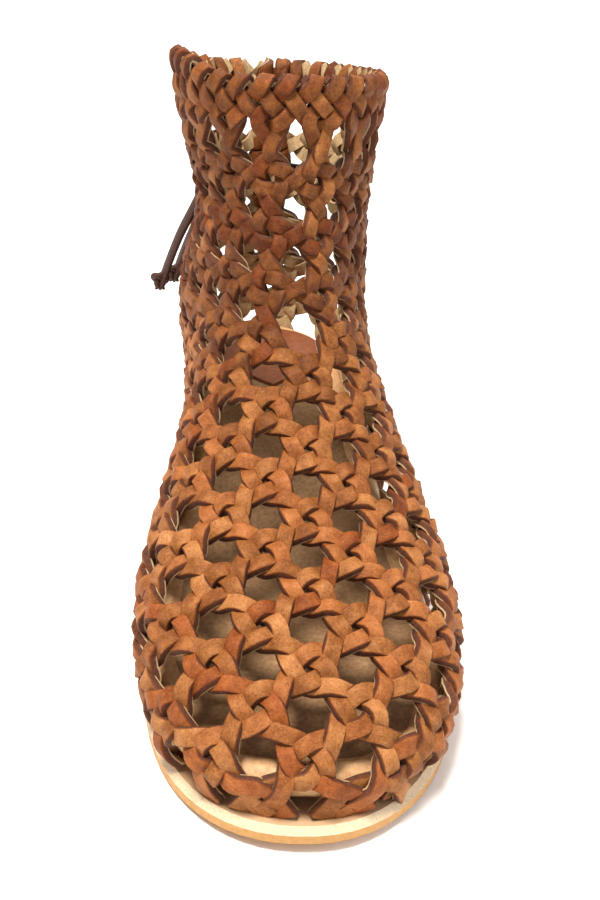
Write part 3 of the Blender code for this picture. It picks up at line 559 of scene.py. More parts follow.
def wall_loop(height, inset):
    """The inside of the woven wall at a height above the outsole, as a closed loop."""
    beside, toe, heel = SIGHTS
    sides = np.linspace(*SIDE_SIGHTS, beside)
    rays = [(FAN_FRONT, math.radians(a)) for a in np.linspace(-90.0, 90.0, toe)]
    rays += [(d, math.radians(90.0)) for d in sides]
    rays += [(FAN_BACK, math.radians(a)) for a in np.linspace(90.0, 270.0, heel)]
    rays += [(d, math.radians(270.0)) for d in reversed(sides)]
    loop = []
    for start, angle in rays:
        ray = Vector((math.sin(angle), -math.cos(angle), 0.0))
        d = start + SIGHT_GUESS * ray.y
        for _ in range(3):
            z = sole_top(d) + height
            hit = TREE.ray_cast(Vector((OFF_SEAM, start, z)), ray)[0]
            d = hit.y
        hit = hit - ray * inset
        loop.append((hit.x, hit.y, sole_top(hit.y) + height))
    return loop


print("band, mm high at the front:", BAND_HEIGHT)

# %% [markdown]
# Now the net is grown and relaxed on the last. It is only a set of places and links: no
# strap exists yet. The count of clusters and strap pairs says whether the rows closed.

# %% Growing the net
NET = Net()
NET.relax()
print("net:", len(NET.points), "clusters,", len(NET.edges), "strap pairs")

# %% [markdown]
# The camera stands in front of the toe and above it, a little to the medial side, looking
# down on the boot as one looks down on a pair of boots on the floor. It is first tilted down
# and then turned about its own upright axis until the one boot stands in the middle.

# %% Camera
VIEW_AHEAD = 0.210         # camera's distance in front of the toe tip
VIEW_HEIGHT = 0.257
VIEW_SIDE = -0.0403        # towards the medial side
VIEW_DOWN = 31.4           # degrees below level
VIEW_TURN = 6.5            # degrees to the boot, about the camera's own upright axis
VIEW_LENS = 48.0           # millimetres


def make_camera():
    """Place the camera before the toe, tilt it down and turn it to the boot."""
    data = bpy.data.cameras.new("view")
    data.lens = VIEW_LENS
    camera = bpy.data.objects.new("view", data)
    toe = place((0.0, 0.0, 0.0))
    camera.location = (toe.x + VIEW_SIDE, toe.y - VIEW_AHEAD, VIEW_HEIGHT)
    tilt = Matrix.Rotation(math.radians(90.0 - VIEW_DOWN), 3, "X")
    turn = Matrix.Rotation(-math.radians(VIEW_TURN), 3, "Y")
    camera.rotation_euler = (tilt @ turn).to_euler()
    bpy.context.scene.collection.objects.link(camera)
    bpy.context.scene.camera = camera
    return camera


VIEW = make_camera()
print("camera stands at, metres:", [round(v, 3) for v in VIEW.location])

# %% [markdown]
# Colours are written as sRGB hex codes, the way a paint chart gives them. A shader wants
# linear light, so one function turns the code into linear values.

# %% Colours
def srgb(code):
    """A hex colour as a linear colour for a shader."""
    values = [int(code[n:n + 2], 16) / 255.0 for n in (1, 3, 5)]
    return tuple(v / 12.92 if v <= 0.04045 else ((v + 0.055) / 1.055) ** 2.4
                 for v in values) + (1.0,)


print("mid grey in linear light:", round(srgb("#808080")[0], 3))

# %% [markdown]
# The light is that of a white tent: a broad soft key from above, a little ahead and to the
# medial side, a weak fill from the lateral side, and one from behind that keeps the shaft's
# edge clear of the backdrop. Disks are used, since their soft round highlights suit leather.

# %% Lights
def area_light(name, place_at, aim, size, watts, colour="#FFFFFF"):
    """A round lamp at a place, turned to what it lights, in metres and watts."""
    data = bpy.data.lights.new(name, "AREA")
    data.shape, data.size, data.energy = "DISK", size, watts
    data.color = srgb(colour)[:3]
    light = bpy.data.objects.new(name, data)
    light.location = place_at
    direction = Vector(aim) - Vector(place_at)
    light.rotation_euler = direction.to_track_quat("-Z", "Y").to_euler()
    bpy.context.scene.collection.objects.link(light)


area_light("key", (-0.28, -0.22, 1.40), (0.0, 0.0, 0.06), 0.45, 33.0, "#FFF8F0")
area_light("fill", (0.9, -0.5, 0.7), (0.0, 0.0, 0.05), 0.9, 3.5)
area_light("back", (0.1, 0.9, 0.9), (0.0, 0.0, 0.1), 0.8, 5.0)
print("lights:", ", ".join(light.name for light in bpy.data.lights))

# %% [markdown]
# The boot stands on a sheet of white card, so large that its far edge is out of sight. Card
# is matt: its roughness is high and nothing of the boot mirrors in it. The world around is
# plain white, at half strength, so that shadows stay soft and open.

# %% Floor and surroundings
FLOOR_REACH = 6.0          # metres from the boot to the edge of the card
CARD_ROUGHNESS = 0.85      # uncoated card: nearly all of its light is scattered
WORLD_STRENGTH = 0.50


def make_stage():
    """Lay the card under the boot and light the world around it."""
    mesh = bpy.data.meshes.new("floor")
    reach = FLOOR_REACH
    mesh.from_pydata([(-reach, -reach, 0), (reach, -reach, 0), (reach, reach, 0),
                      (-reach, reach, 0)], [], [(0, 1, 2, 3)])
    floor = bpy.data.objects.new("floor", mesh)
    bpy.context.scene.collection.objects.link(floor)
    paper = bpy.data.materials.new("matt white card")
    paper.use_nodes = True
    shader = paper.node_tree.nodes["Principled BSDF"]
    shader.inputs["Base Color"].default_value = srgb("#FFFFFF")
    shader.inputs["Roughness"].default_value = CARD_ROUGHNESS
    mesh.materials.append(paper)
    world = bpy.data.worlds.new("studio")
    world.use_nodes = True
    back = world.node_tree.nodes["Background"]
    back.inputs["Color"].default_value = srgb("#FFFFFF")
    back.inputs["Strength"].default_value = WORLD_STRENGTH
    bpy.context.scene.world = world


make_stage()
# plain white light on matt leather needs no film curve: colours stay as they are mixed
bpy.context.scene.view_settings.view_transform = "Standard"
print("floor reaches, metres:", FLOOR_REACH)

# %% [markdown]
# A material is a small graph of nodes. Each graph here starts from what the real leather is
# and how its surface was made, and every pattern in it is sized in millimetres, read through
# the object coordinates, which are metres. One function, `graph`, adds any node with its
# settings, input values, colour stops and links, so a graph reads as a list of what it does.

# %% One helper for every node
MM = 0.001
LEATHER_IOR = 1.5          # oiled or waxed leather bends light about as glass does


def graph(tree, kind, settings=None, values=None, links=None, stops=()):
    """Add one node: its settings, input values, colour stops, and links into its inputs."""
    node = tree.nodes.new(kind)
    for key, value in (settings or {}).items():
        setattr(node, key, value)
    for key, value in (values or {}).items():
        node.inputs[key].default_value = value
    for key, socket in (links or {}).items():
        tree.links.new(socket, node.inputs[key])
    for _ in stops[2:]:
        node.color_ramp.elements.new(0.5)
    for n, (position, colour) in enumerate(stops):
        point = node.color_ramp.elements[n]
        point.position, point.color = position, srgb(colour)
    return node


def new_leather(name, roughness):
    """An empty leather: not a metal, the IOR of oiled leather, and its shader."""
    material = bpy.data.materials.new(name)
    material.use_nodes = True
    shader = material.node_tree.nodes["Principled BSDF"]
    shader.inputs["Metallic"].default_value = 0.0
    shader.inputs["IOR"].default_value = LEATHER_IOR
    shader.inputs["Roughness"].default_value = roughness
    return material, material.node_tree, shader


print("leather IOR", LEATHER_IOR)

# %% [markdown]
# The straps are cut from oiled, vegetable-tanned cowhide. Its grain side is drawn through a
# gauge, so the pores are pulled into short streaks along the strap, about 0.5 mm wide and
# twice as long. Dye takes unevenly from hide to hide: single straps are redder or
# paler. Plaiting rubs the arrises and burnishes them dark. Each strap carries three named
# attributes that the graph reads: its place on the strap, its tone, which up the instep and
# shaft also holds painted shade, and its warmth. A plain noise over the whole boot would be
# simpler, but then the grain would ignore the weave.

# %% Strap leather: the drawn grain
STREAK_MM = 0.45           # width of a streak of the drawn grain
STREAK_LONG = 0.55         # the pattern runs this much slower along the strap than across
PORE_MM = 0.38             # pinholes, coarser than real pores so that they show
CREPE_MM = 0.33            # fine relief that catches the light


def drawn_grain():
    """The leather's empty graph with its patterns, all stretched along the strap."""
    material, tree, shader = new_leather("oiled vegetable-tanned strap leather", 0.55)
    place_on = graph(tree, "ShaderNodeAttribute",
                     {"attribute_name": "strap_place", "name": "place on strap"})
    drawn = graph(tree, "ShaderNodeVectorMath", {"operation": "MULTIPLY"},
                  {1: (1.0, STREAK_LONG, 0.0)}, {0: place_on.outputs["Vector"]})
    for name, size, detail, roughness in (("streaks", STREAK_MM, 5.0, 0.70),
                                          ("pores", PORE_MM, 2.0, 0.55),
                                          ("crepe", CREPE_MM, 3.0, 0.60)):
        graph(tree, "ShaderNodeTexNoise", {"name": name},
              {"Scale": 1.0 / (size * MM), "Detail": detail, "Roughness": roughness},
              {"Vector": drawn.outputs[0]})
    return material


GRAIN = drawn_grain()
print("grain patterns, mm:", STREAK_MM, PORE_MM, CREPE_MM)

# %% [markdown]
# The dye lies over the grain in clouds a few millimetres wide. Clouds, streaks and the
# strap's own tone, which up the instep and shaft also holds painted shade, are added up to
# one number, the shade.

# %% Strap leather: the shade
BLOTCH_MM = 4.5            # size of the dye's clouds over the boot
BLOTCH_SHARE = 0.45        # how much the clouds add to the shade
STREAK_SHARE = 0.46        # and how much the streaks do


def shade_of_grain(tree):
    """One number for how dark the grain is: dye clouds, streaks, and tone with painted shade.
    """
    where = graph(tree, "ShaderNodeTexCoord")
    tone = graph(tree, "ShaderNodeAttribute", {"attribute_name": "tone"})
    clouds = graph(tree, "ShaderNodeTexNoise",
                   values={"Scale": 1.0 / (BLOTCH_MM * MM), "Detail": 3.0, "Roughness": 0.55},
                   links={"Vector": where.outputs["Object"]})
    uneven = graph(tree, "ShaderNodeMath", {"operation": "MULTIPLY_ADD"},
                   {1: BLOTCH_SHARE}, {0: clouds.outputs["Fac"], 2: tone.outputs["Fac"]})
    streaked = graph(tree, "ShaderNodeMath", {"operation": "MULTIPLY_ADD"}, {1: STREAK_SHARE},
                     {0: tree.nodes["streaks"].outputs["Fac"], 2: uneven.outputs[0]})
    return streaked.outputs[0]


print("clouds of dye, mm:", BLOTCH_MM)

# %% [markdown]
# A ramp of four browns turns the shade into a colour. Then come the differences between
# straps and the darker arrises and pores, each as one mix over the last.

# %% Strap leather: the colour
RUBBED_FROM = 0.86         # share of the half width where the burnished arris begins
RUBBED_DARK = 0.90         # how fully the arris takes its dark tone at the very edge
PORE_LEVELS = (0.31, 0.42)  # only the lowest places of the pattern are pores
PORE_DARK = 0.55           # how far the dye has darkened them


def colour_grain(material):
    """Four browns, redder on single straps, burnished at the arrises, dark in the pores."""
    tree = material.node_tree
    tan = graph(tree, "ShaderNodeValToRGB", links={"Fac": shade_of_grain(tree)},
                stops=((0.36, "#572E12"), (0.53, "#824D22"), (0.70, "#AD7240"),
                       (0.92, "#D8A673")))
    warmth = graph(tree, "ShaderNodeAttribute", {"attribute_name": "warmth"})
    redder = graph(tree, "ShaderNodeMix", {"data_type": "RGBA", "blend_type": "MULTIPLY"},
                   {7: srgb("#E4BC9C")}, {0: warmth.outputs["Fac"], 6: tan.outputs["Color"]})
    place_on = graph(tree, "ShaderNodeSeparateXYZ",
                     links={"Vector": tree.nodes["place on strap"].outputs["Vector"]})
    from_middle = graph(tree, "ShaderNodeMath", {"operation": "ABSOLUTE"},
                        links={0: place_on.outputs["Z"]})
    rubbed = graph(tree, "ShaderNodeMapRange",
                   values={"From Min": RUBBED_FROM, "From Max": 1.0, "To Max": RUBBED_DARK},
                   links={"Value": from_middle.outputs[0]})
    burnished = graph(tree, "ShaderNodeMix", {"data_type": "RGBA"}, {7: srgb("#5B2D14")},
                      {0: rubbed.outputs[0], 6: redder.outputs[2]})
    pored = graph(tree, "ShaderNodeMapRange",
                  values={"From Min": PORE_LEVELS[0], "From Max": PORE_LEVELS[1],
                          "To Min": PORE_DARK, "To Max": 0.0},
                  links={"Value": tree.nodes["pores"].outputs["Fac"]})
    whole = graph(tree, "ShaderNodeMix", {"data_type": "RGBA", "blend_type": "MULTIPLY"},
                  {7: srgb("#7C5540")}, {0: pored.outputs[0], 6: burnished.outputs[2]})
    shader = tree.nodes["Principled BSDF"]
    tree.links.new(whole.outputs[2], shader.inputs["Base Color"])


colour_grain(GRAIN)
print("strap leather:", len(GRAIN.node_tree.nodes), "nodes")

# %% [markdown]
# Oil gives the grain a soft, broken shine: the streaks are a little rougher where they are
# pale, and a fine relief of a few tenths of a millimetre scatters the highlights. The
# specular level is under the usual 0.5, because the finish is oiled and not glazed.

# %% Strap leather: shine and relief
STRAP_ROUGHNESS = (0.48, 0.68)  # in the dark and in the pale streaks
STRAP_RELIEF = 0.6         # strength of the crepe
STRAP_RELIEF_MM = 0.4      # and its depth
STRAP_SPECULAR = 0.18


def shine_grain(material):
    """Streaks drive the roughness, the fine crepe the relief."""
    tree = material.node_tree
    shader = tree.nodes["Principled BSDF"]
    rough = graph(tree, "ShaderNodeMapRange",
                  values={"To Min": STRAP_ROUGHNESS[0], "To Max": STRAP_ROUGHNESS[1]},
                  links={"Value": tree.nodes["streaks"].outputs["Fac"]})
    relief = graph(tree, "ShaderNodeBump",
                   values={"Strength": STRAP_RELIEF, "Distance": STRAP_RELIEF_MM * MM},
                   links={"Height": tree.nodes["crepe"].outputs["Fac"]})
    tree.links.new(rough.outputs[0], shader.inputs["Roughness"])
    tree.links.new(relief.outputs[0], shader.inputs["Normal"])
    shader.inputs["Specular IOR Level"].default_value = STRAP_SPECULAR


shine_grain(GRAIN)
print("strap leather: roughness", STRAP_ROUGHNESS, "relief up to, mm:", STRAP_RELIEF_MM)

# %% [markdown]
# The other leathers differ in how their surface was made, not in kind: cut through, sanded
# to a nap, smoothed and glazed, or stacked and buffed. Two tones mixed by a noise of the
# right size, with a matching relief, are enough for them. `fibre` is the size in millimetres
# of the patches one sees, and `nap` the strength of the relief.

# %% Plain leathers
PLAIN_RELIEF_MM = 0.3      # depth of the relief


def plain_leather(name, dark, pale, roughness, fibre=0.83, nap=0.3):
    """A leather of two tones in patches of `fibre` mm, with a relief half that size."""
    material, tree, shader = new_leather(name, roughness)
    where = graph(tree, "ShaderNodeTexCoord").outputs["Object"]
    patches = graph(tree, "ShaderNodeTexNoise",
                    values={"Scale": 1.0 / (fibre * MM), "Detail": 5.0, "Roughness": 0.65},
                    links={"Vector": where})
    colour = graph(tree, "ShaderNodeValToRGB", links={"Fac": patches.outputs["Fac"]},
                   stops=((0.3, dark), (0.7, pale)))
    tree.links.new(colour.outputs["Color"], shader.inputs["Base Color"])
    fibres = graph(tree, "ShaderNodeTexNoise",
                   values={"Scale": 2.0 / (fibre * MM), "Detail": 4.0, "Roughness": 0.7},
                   links={"Vector": where})
    relief = graph(tree, "ShaderNodeBump",
                   values={"Strength": nap, "Distance": PLAIN_RELIEF_MM * MM},
                   links={"Height": fibres.outputs["Fac"]})
    tree.links.new(relief.outputs[0], shader.inputs["Normal"])
    return material


# knife-cut edge: dyed through but unpolished, so dark and dull
CUT_EDGE = plain_leather("knife-cut strap edge, dyed", "#351809", "#653317", 0.8)
# flesh side: undyed loose fibre, pale and quite matt
FLESH = plain_leather("undyed flesh side of the straps", "#987850", "#C9AE84", 0.85)
# suede: a sanded nap with no shine at all, in broad brushed patches
SUEDE = plain_leather("sanded suede insole", "#80603F", "#A98560", 0.95, 1.43)
# footbed cover: soft sheepskin drawn over a pad, a low even sheen
FOOTBED_LEATHER = plain_leather("light tan sheepskin footbed cover", "#BC8A58", "#DDB384",
                                0.6, 1.67)
# heel sock: smooth glazed calf, the shiniest leather of the boot
PAD_LEATHER = plain_leather("glazed calf heel sock", "#6E3A1E", "#8C5230", 0.5, 2.0, 0.1)
PLAIN_LEATHERS = (CUT_EDGE, FLESH, SUEDE, FOOTBED_LEATHER, PAD_LEATHER)
print("plain leathers:", "; ".join(material.name for material in PLAIN_LEATHERS))

# %% [markdown]
# The outsole is bark-tanned bend leather, the hardest there is. Its side is dyed and
# burnished smooth; the bevel on its upper arris is left raw and shows pale fibres; the margin
# under the footbed keeps the plain grain. All three are one solid, so the graph tells them
# apart by the slope of the surface, which costs no extra geometry.

# %% Outsole leather
BEVEL_FIBRE_MM = 0.62      # tufts of fibre on the raw bevel
BEVEL_SLOPE = (0.30, 0.45)  # upward part of the normal where the bevel begins
MARGIN_SLOPE = (0.90, 0.96)  # and where the level margin begins


def sole_edge(material):
    """Burnished side, raw fibrous bevel and plain top margin, told apart by their slope."""
    tree = material.node_tree
    shader = tree.nodes["Principled BSDF"]
    side = shader.inputs["Base Color"].links[0].from_socket
    where = graph(tree, "ShaderNodeTexCoord")
    tufts = graph(tree, "ShaderNodeTexNoise",
                  values={"Scale": 1.0 / (BEVEL_FIBRE_MM * MM), "Detail": 5.0,
                          "Roughness": 0.75}, links={"Vector": where.outputs["Object"]})
    raw = graph(tree, "ShaderNodeValToRGB", links={"Fac": tufts.outputs["Fac"]},
                stops=((0.34, "#C7AA86"), (0.60, "#E3CCAA")))
    normal = graph(tree, "ShaderNodeNewGeometry").outputs["True Normal"]
    slope = graph(tree, "ShaderNodeSeparateXYZ", links={"Vector": normal}).outputs["Z"]
    on_bevel = graph(tree, "ShaderNodeMapRange",
                     values={"From Min": BEVEL_SLOPE[0], "From Max": BEVEL_SLOPE[1]},
                     links={"Value": slope})
    on_margin = graph(tree, "ShaderNodeMapRange",
                      values={"From Min": MARGIN_SLOPE[0], "From Max": MARGIN_SLOPE[1]},
                      links={"Value": slope})
    bevelled = graph(tree, "ShaderNodeMix", {"data_type": "RGBA"},
                     links={0: on_bevel.outputs[0], 6: side, 7: raw.outputs["Color"]})
    whole = graph(tree, "ShaderNodeMix", {"data_type": "RGBA"}, {7: srgb("#C29E78")},
                  {0: on_margin.outputs[0], 6: bevelled.outputs[2]})
    tree.links.new(whole.outputs[2], shader.inputs["Base Color"])


SOLE_LEATHER = plain_leather("bark-tanned bend outsole leather", "#B98443", "#CC9A58", 0.6, 2.0)
sole_edge(SOLE_LEATHER)
print("outsole bevel fibre, mm:", BEVEL_FIBRE_MM)

# %% [markdown]
# The heel is a stack of leather lifts, sanded together into one smooth pale flank, in which
# the glue lines between lifts show as faint darker bands. Under it sits a thin top piece of
# hard rubber, moulded and then trimmed, dark and dull.

# %% Heel leather and rubber
LIFT_MM = 4.0              # one lift of heel leather
GLUE_SHARE = 0.10          # share of a lift that the glue line darkens
GLUE_DARK = 0.55           # how strongly, at the joint itself


def stacked_heel():
    """Buffed heel leather with a faint glue line at every lift."""
    material = plain_leather("buffed stacked heel leather", "#AE8664", "#C7A17E", 0.6, 2.5)
    tree = material.node_tree
    shader = tree.nodes["Principled BSDF"]
    plain = shader.inputs["Base Color"].links[0].from_socket
    where = graph(tree, "ShaderNodeTexCoord").outputs["Object"]
    height = graph(tree, "ShaderNodeSeparateXYZ", links={"Vector": where}).outputs["Z"]
    lifts = graph(tree, "ShaderNodeMath", {"operation": "MULTIPLY"}, {1: 1.0 / (LIFT_MM * MM)},
                  {0: height})
    within = graph(tree, "ShaderNodeMath", {"operation": "FRACT"}, links={0: lifts.outputs[0]})
    glue = graph(tree, "ShaderNodeMapRange",
                 values={"From Min": 0.0, "From Max": GLUE_SHARE, "To Min": GLUE_DARK,
                         "To Max": 0.0}, links={"Value": within.outputs[0]})
    lined = graph(tree, "ShaderNodeMix", {"data_type": "RGBA", "blend_type": "MULTIPLY"},
                  {7: srgb("#B58F76")}, {0: glue.outputs[0], 6: plain})
    tree.links.new(lined.outputs[2], shader.inputs["Base Color"])
    return material


HEEL_LEATHER = stacked_heel()
TOP_RUBBER = plain_leather("trimmed hard rubber top piece", "#3A3630", "#4C473E", 0.8, 2.0)
TOP_RUBBER.node_tree.nodes["Principled BSDF"].inputs["IOR"].default_value = 1.52
print("materials:", len(bpy.data.materials))

# %% [markdown]
# A strap is a flat thong, domed on its grain side, with cut edges and a pale flesh side. A
# curve with a bevel could draw it, but then its flat side could not follow the last, so each
# strap is swept point by point: a section of twelve points with a material for every face.

# %% The strap's sizes and section
STRAP_WIDTH = 5.0
STRAP_THICK = 2.5
OVER = 1.85                # rise of a strap that crosses over
UNDER = -1.05              # drop of a strap that crosses under
SPACING = 3.2              # from a cluster's middle to the middle of its straps
STEP = 1.2                 # spacing of rings along a strap
SHAFT_NARROWER = 0.08      # straps lie narrower on the shaft by this share
SHAFT_PAINTED_SHADE = 0.12        # and painted shade darkens their leather this much there, for less light from above
NARROW_BETWEEN = (75.0, 120.0)  # heights between which the straps narrow
PAINTED_SHADE_BETWEEN = (50.0, 100.0)  # and between which that painted shade comes in
LAST_CLUSTER = 8.5         # straps below this height above the sole only run down to it
RUN_RISES = (0.4, 0.8)     # rise of a strap beside its last cluster, and at the sole
RUN_UNDER = 3.0            # it is followed this far below the sole's face, then cut
END_FLARE = 0.40           # a strap's end spreads by this share where it meets the sole
END_FROM = 9.0             # and begins to spread this far above it
BRAID_ROWS = (0.06, 0.44, 0.82)  # rows of crossings in the collar band, share of its height
WRAP_INSIDE = 6.0          # wrapped straps reach this far down inside the rim
WRAP_DEPTH = -2.4          # and lie this far inside the last's surface there
WRAP_ABOVE = 0.6           # over the rim itself they stand this much higher
RIM_STEPS = 2.6            # half steps a strap goes round from the band's foot to the rim
TUCK_SHARE = 0.97          # share of the band's height where the other straps end
TUCK_RISE = -0.6           # tucked in this far
TURN_SHARE = -0.10         # straps that start in the band turn back this share below its foot
SLIT_RISE = 0.3            # rise of a strap that turns back at the slit
WHIP_RADIUS = 2.1          # whipping round the edges of the slit
WHIP_PITCH = 5.4

# across (in half widths), up (in half thicknesses), material of the face that follows:
# 0 grain, 1 cut edge, 2 flesh
SECTION_COLUMNS = ("across", "up", "material")
SECTION = (
    (1.00, 0.52, 0), (0.97, 0.84, 0), (0.88, 0.99, 0), (0.45, 1.02, 0), (-0.45, 1.02, 0),
    (-0.88, 0.99, 0), (-0.97, 0.84, 0), (-1.00, 0.52, 1), (-1.07, -0.58, 2),
    (-1.02, -0.96, 2), (1.02, -0.96, 2), (1.07, -0.58, 1),
)
print("strap, mm:", STRAP_WIDTH, "wide,", STRAP_THICK, "thick")
print("its section:", len(SECTION), "points by", ", ".join(SECTION_COLUMNS))

# %% [markdown]
# Walking presses an open weave in where the foot bends: two soft troughs over the ball with
# a ridge pushed up between them, one at the front of the ankle with a ridge above it, and
# one on the medial side. They are listed one by one, in the boot's own sizes. Each is a smooth
# hollow that the straps sink into; a depth below zero is a ridge.

# %% Creases of wear
# middle x, d, z; depth; half width along the boot; reach across it
CREASE_COLUMNS = ("x", "d", "z", "depth", "along", "across")
CREASES = (
    (-6.0, 82.0, 57.0, 0.8, 7.0, 26.0),
    (2.0, 89.0, 60.5, -0.5, 4.0, 20.0),
    (10.0, 96.0, 64.0, 0.6, 6.0, 20.0),
    (0.0, 136.0, 97.0, 0.7, 8.0, 22.0),
    (-4.0, 142.0, 106.0, -0.4, 5.0, 18.0),
    (-22.0, 150.0, 112.0, 0.5, 8.0, 14.0),
)


def crease_at(point):
    """How far wear has pressed the weave in at a point."""
    sink = 0.0
    for x, d, z, depth, along, across in CREASES:
        run = math.hypot(point[1] - d, point[2] - z) / along
        side = (point[0] - x) / across
        sink += depth * math.exp(-run * run - side * side)
    return sink


DEPTHS = [row[CREASE_COLUMNS.index("depth")] for row in CREASES]
print("troughs and ridges:", len(CREASES), "from, mm:", min(DEPTHS), "to", max(DEPTHS))

# %% [markdown]
# A strap's path is known only at its crossings. Between them it runs smoothly, so a curve
# is put through the crossings; it carries the rise, the roll and the turn along with the
# place, since all six numbers are blended the same way.

# %% A smooth line through crossings
def curve_through(points, step):
    """A smooth line through control rows, sampled about every `step` millimetres."""
    rows = np.array(points, float)
    rows = np.vstack((2 * rows[0] - rows[1], rows, 2 * rows[-1] - rows[-2]))
    out = []
    for n in range(1, len(rows) - 2):
        p0, p1, p2, p3 = rows[n - 1:n + 3]
        count = max(2, int(round(np.linalg.norm(p2[:3] - p1[:3]) / step)))
        for k in range(count):
            t = k / count
            out.append(0.5 * (2 * p1 + (p2 - p0) * t + (2 * p0 - 5 * p1 + 4 * p2 - p3) * t**2
                              + (3 * p1 - p0 - 3 * p2 + p3) * t**3))
    out.append(rows[-2])
    return np.array(out)


print("points between two crossings:", len(curve_through([(0, 0, 0), (9, 0, 0)], STEP)))

# %% [markdown]
# Straps, roll, knots and lace are all skins over rings of points: the same quads between one
# ring and the next. A flat lace or a cut tail has four corners, and so has a cluster.

# %% A skin over rings
CORNERS = ((1, 1), (-1, 1), (-1, -1), (1, -1))  # of anything flat, counter-clockwise


def skin(first, rings, count, closed=False):
    """Quads between rings of `count` points each; a closed skin comes back to its start."""
    faces = []
    for n in range(rings if closed else rings - 1):
        a, b = first + n * count, first + (n + 1) % rings * count
        for k in range(count):
            m = (k + 1) % count
            faces.append((a + k, a + m, b + m, b + k))
    return faces


print("between two rings of twelve points:", len(skin(0, 2, 12)), "faces")

# %% [markdown]
# Sweeping makes one closed skin for each strap. With every point go its place on the strap,
# the strap's tone, with the painted shade of the instep and shaft, and its warmth, which the
# leather's graph reads.

# %% Sweeping straps
PATTERN_SHIFT = 0.4        # the grain starts elsewhere on every strap, in mm for a point laid


class Swept:
    """Gathers swept straps: points, faces, and what the leather has to know of them."""

    def __init__(self):
        self.points, self.faces, self.kinds = [], [], []
        self.places, self.tones, self.warmths = [], [], []

    def sweep(self, centres, normals, rolls, widths, tones, warmth):
        """Sweep the strap's section along centre points."""
        centres = np.array(centres)
        along = np.gradient(centres, axis=0)
        along /= np.linalg.norm(along, axis=1)[:, None]
        normals = np.array(normals)
        normals = normals - np.sum(normals * along, axis=1)[:, None] * along
        normals /= np.linalg.norm(normals, axis=1)[:, None]
        across = np.cross(along, normals)
        first, count = len(self.points), len(SECTION)
        run = PATTERN_SHIFT * first + run_along(centres)
        for p, up, side, roll, width, at in zip(centres, normals, across, rolls, widths, run):
            c, s = math.cos(roll), math.sin(roll)
            u, v = up * c - side * s, side * c + up * s
            for a, h, _ in SECTION:
                self.points.append(p + v * (a * width / 2) + u * (h * STRAP_THICK / 2))
                self.places.append((a * width / 2 * MM, at * MM, a))
        self.tones += [tone for tone in tones for _ in SECTION]
        self.warmths += [warmth] * (len(self.points) - first)
        self.faces += skin(first, len(centres), count)
        self.kinds += [kind for _, _, kind in SECTION] * (len(centres) - 1)
        for start, turn in ((first, -1), (first + (len(centres) - 1) * count, 1)):
            self.faces.append(tuple(start + k for k in range(count))[::turn])
            self.kinds.append(1)


print("a strap of ten rings has", 2 * len(skin(0, 10, len(SECTION))), "triangles, ends apart")

# %% [markdown]
# Seventy-six straps would be seventy-six objects, so they are gathered into a few meshes. A
# strap's faces carry three leathers: grain above, cut edges, flesh below.

# %% A piece of many straps
SHARP_FROM = 50.0          # degrees; the cut arrises stay sharp, the domed grain side smooth


class Straps(Swept):
    """Straps that become one piece of the boot."""

    def piece(self, name):
        """One piece of all the straps gathered so far."""
        mesh = bpy.data.meshes.new(name)
        mesh.from_pydata([place(p) for p in self.points], [], self.faces)
        for material in (GRAIN, CUT_EDGE, FLESH):
            mesh.materials.append(material)
        mesh.polygons.foreach_set("material_index", self.kinds)
        on_strap = mesh.attributes.new("strap_place", "FLOAT_VECTOR", "POINT")
        on_strap.data.foreach_set("vector", [v for spot in self.places for v in spot])
        # the tone holds each strap's own tone and, up the instep and shaft, painted shade
        for name_of, values in (("tone", self.tones), ("warmth", self.warmths)):
            mesh.attributes.new(name_of, "FLOAT", "POINT").data.foreach_set("value", values)
        shape = bmesh.new()
        shape.from_mesh(mesh)
        bmesh.ops.recalc_face_normals(shape, faces=shape.faces[:])
        shape.to_mesh(mesh)
        shape.free()
        mesh.shade_smooth()
        mesh.set_sharp_from_angle(angle=math.radians(SHARP_FROM))
        piece = bpy.data.objects.new(name, mesh)
        bpy.context.scene.collection.objects.link(piece)
        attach(piece, "root")
        print(name, "triangles", 2 * len(self.faces))
        return piece


print("leathers on a strap:", ", ".join(m.name for m in (GRAIN, CUT_EDGE, FLESH)))

# %% [markdown]
# Every cluster has four arms, one towards each neighbour. The arms are put in order round
# the cluster, with a gap where a neighbour is missing, at the collar, the slit or the sole.

# %% The arms of a cluster
TURN_FROM = (0.13, 0.31, 0.94)  # arms are counted from square to this and to the last


def sole_gap(point):
    """Height above the outsole."""
    return point[2] - sole_top(point[1])


class Arms:
    """The clusters of a net, each with its neighbours in order."""

    def __init__(self, net):
        self.net = net
        self.points = [np.array(p) for p in net.points]
        near = {n: [] for n in range(len(self.points))}
        self.low = {n for n, p in enumerate(self.points) if sole_gap(p) < LAST_CLUSTER}
        self.collar = {n: name for name, n in net.names.items() if name[1] == 0}
        self.slit = {n for name, n in net.names.items()
                     if name[2] == COLUMNS and 0 < name[1] < SLIT_RING}
        for a, b in net.edges:
            if not {a, b} <= self.collar.keys() and not {a, b} <= self.low:
                near[a].append(b)
                near[b].append(a)
        self.arms = {n: self.around(n, near[n]) for n in near if near[n]}

    def around(self, n, near):
        """Neighbours counter-clockwise seen from outside, four places, None for a gap."""
        up = outward(self.points[n])
        east = unit(np.cross(TURN_FROM, up))
        north = np.cross(up, east)
        turn = {}
        for m in near:
            off = self.points[m] - self.points[n]
            turn[m] = math.atan2(np.dot(off, north), np.dot(off, east))
        order = sorted(near, key=turn.get)
        while len(order) < 4:
            gaps = []
            for k, m in enumerate(order):
                after = order[(k + 1) % len(order)]
                if m is None or after is None:
                    gaps.append(0.0)
                else:
                    gaps.append((turn[after] - turn[m]) % (2 * math.pi) or 2 * math.pi)
            order.insert(gaps.index(max(gaps)) + 1, None)
        return order


print("straps run down at clusters lower above the sole than, mm:", LAST_CLUSTER)

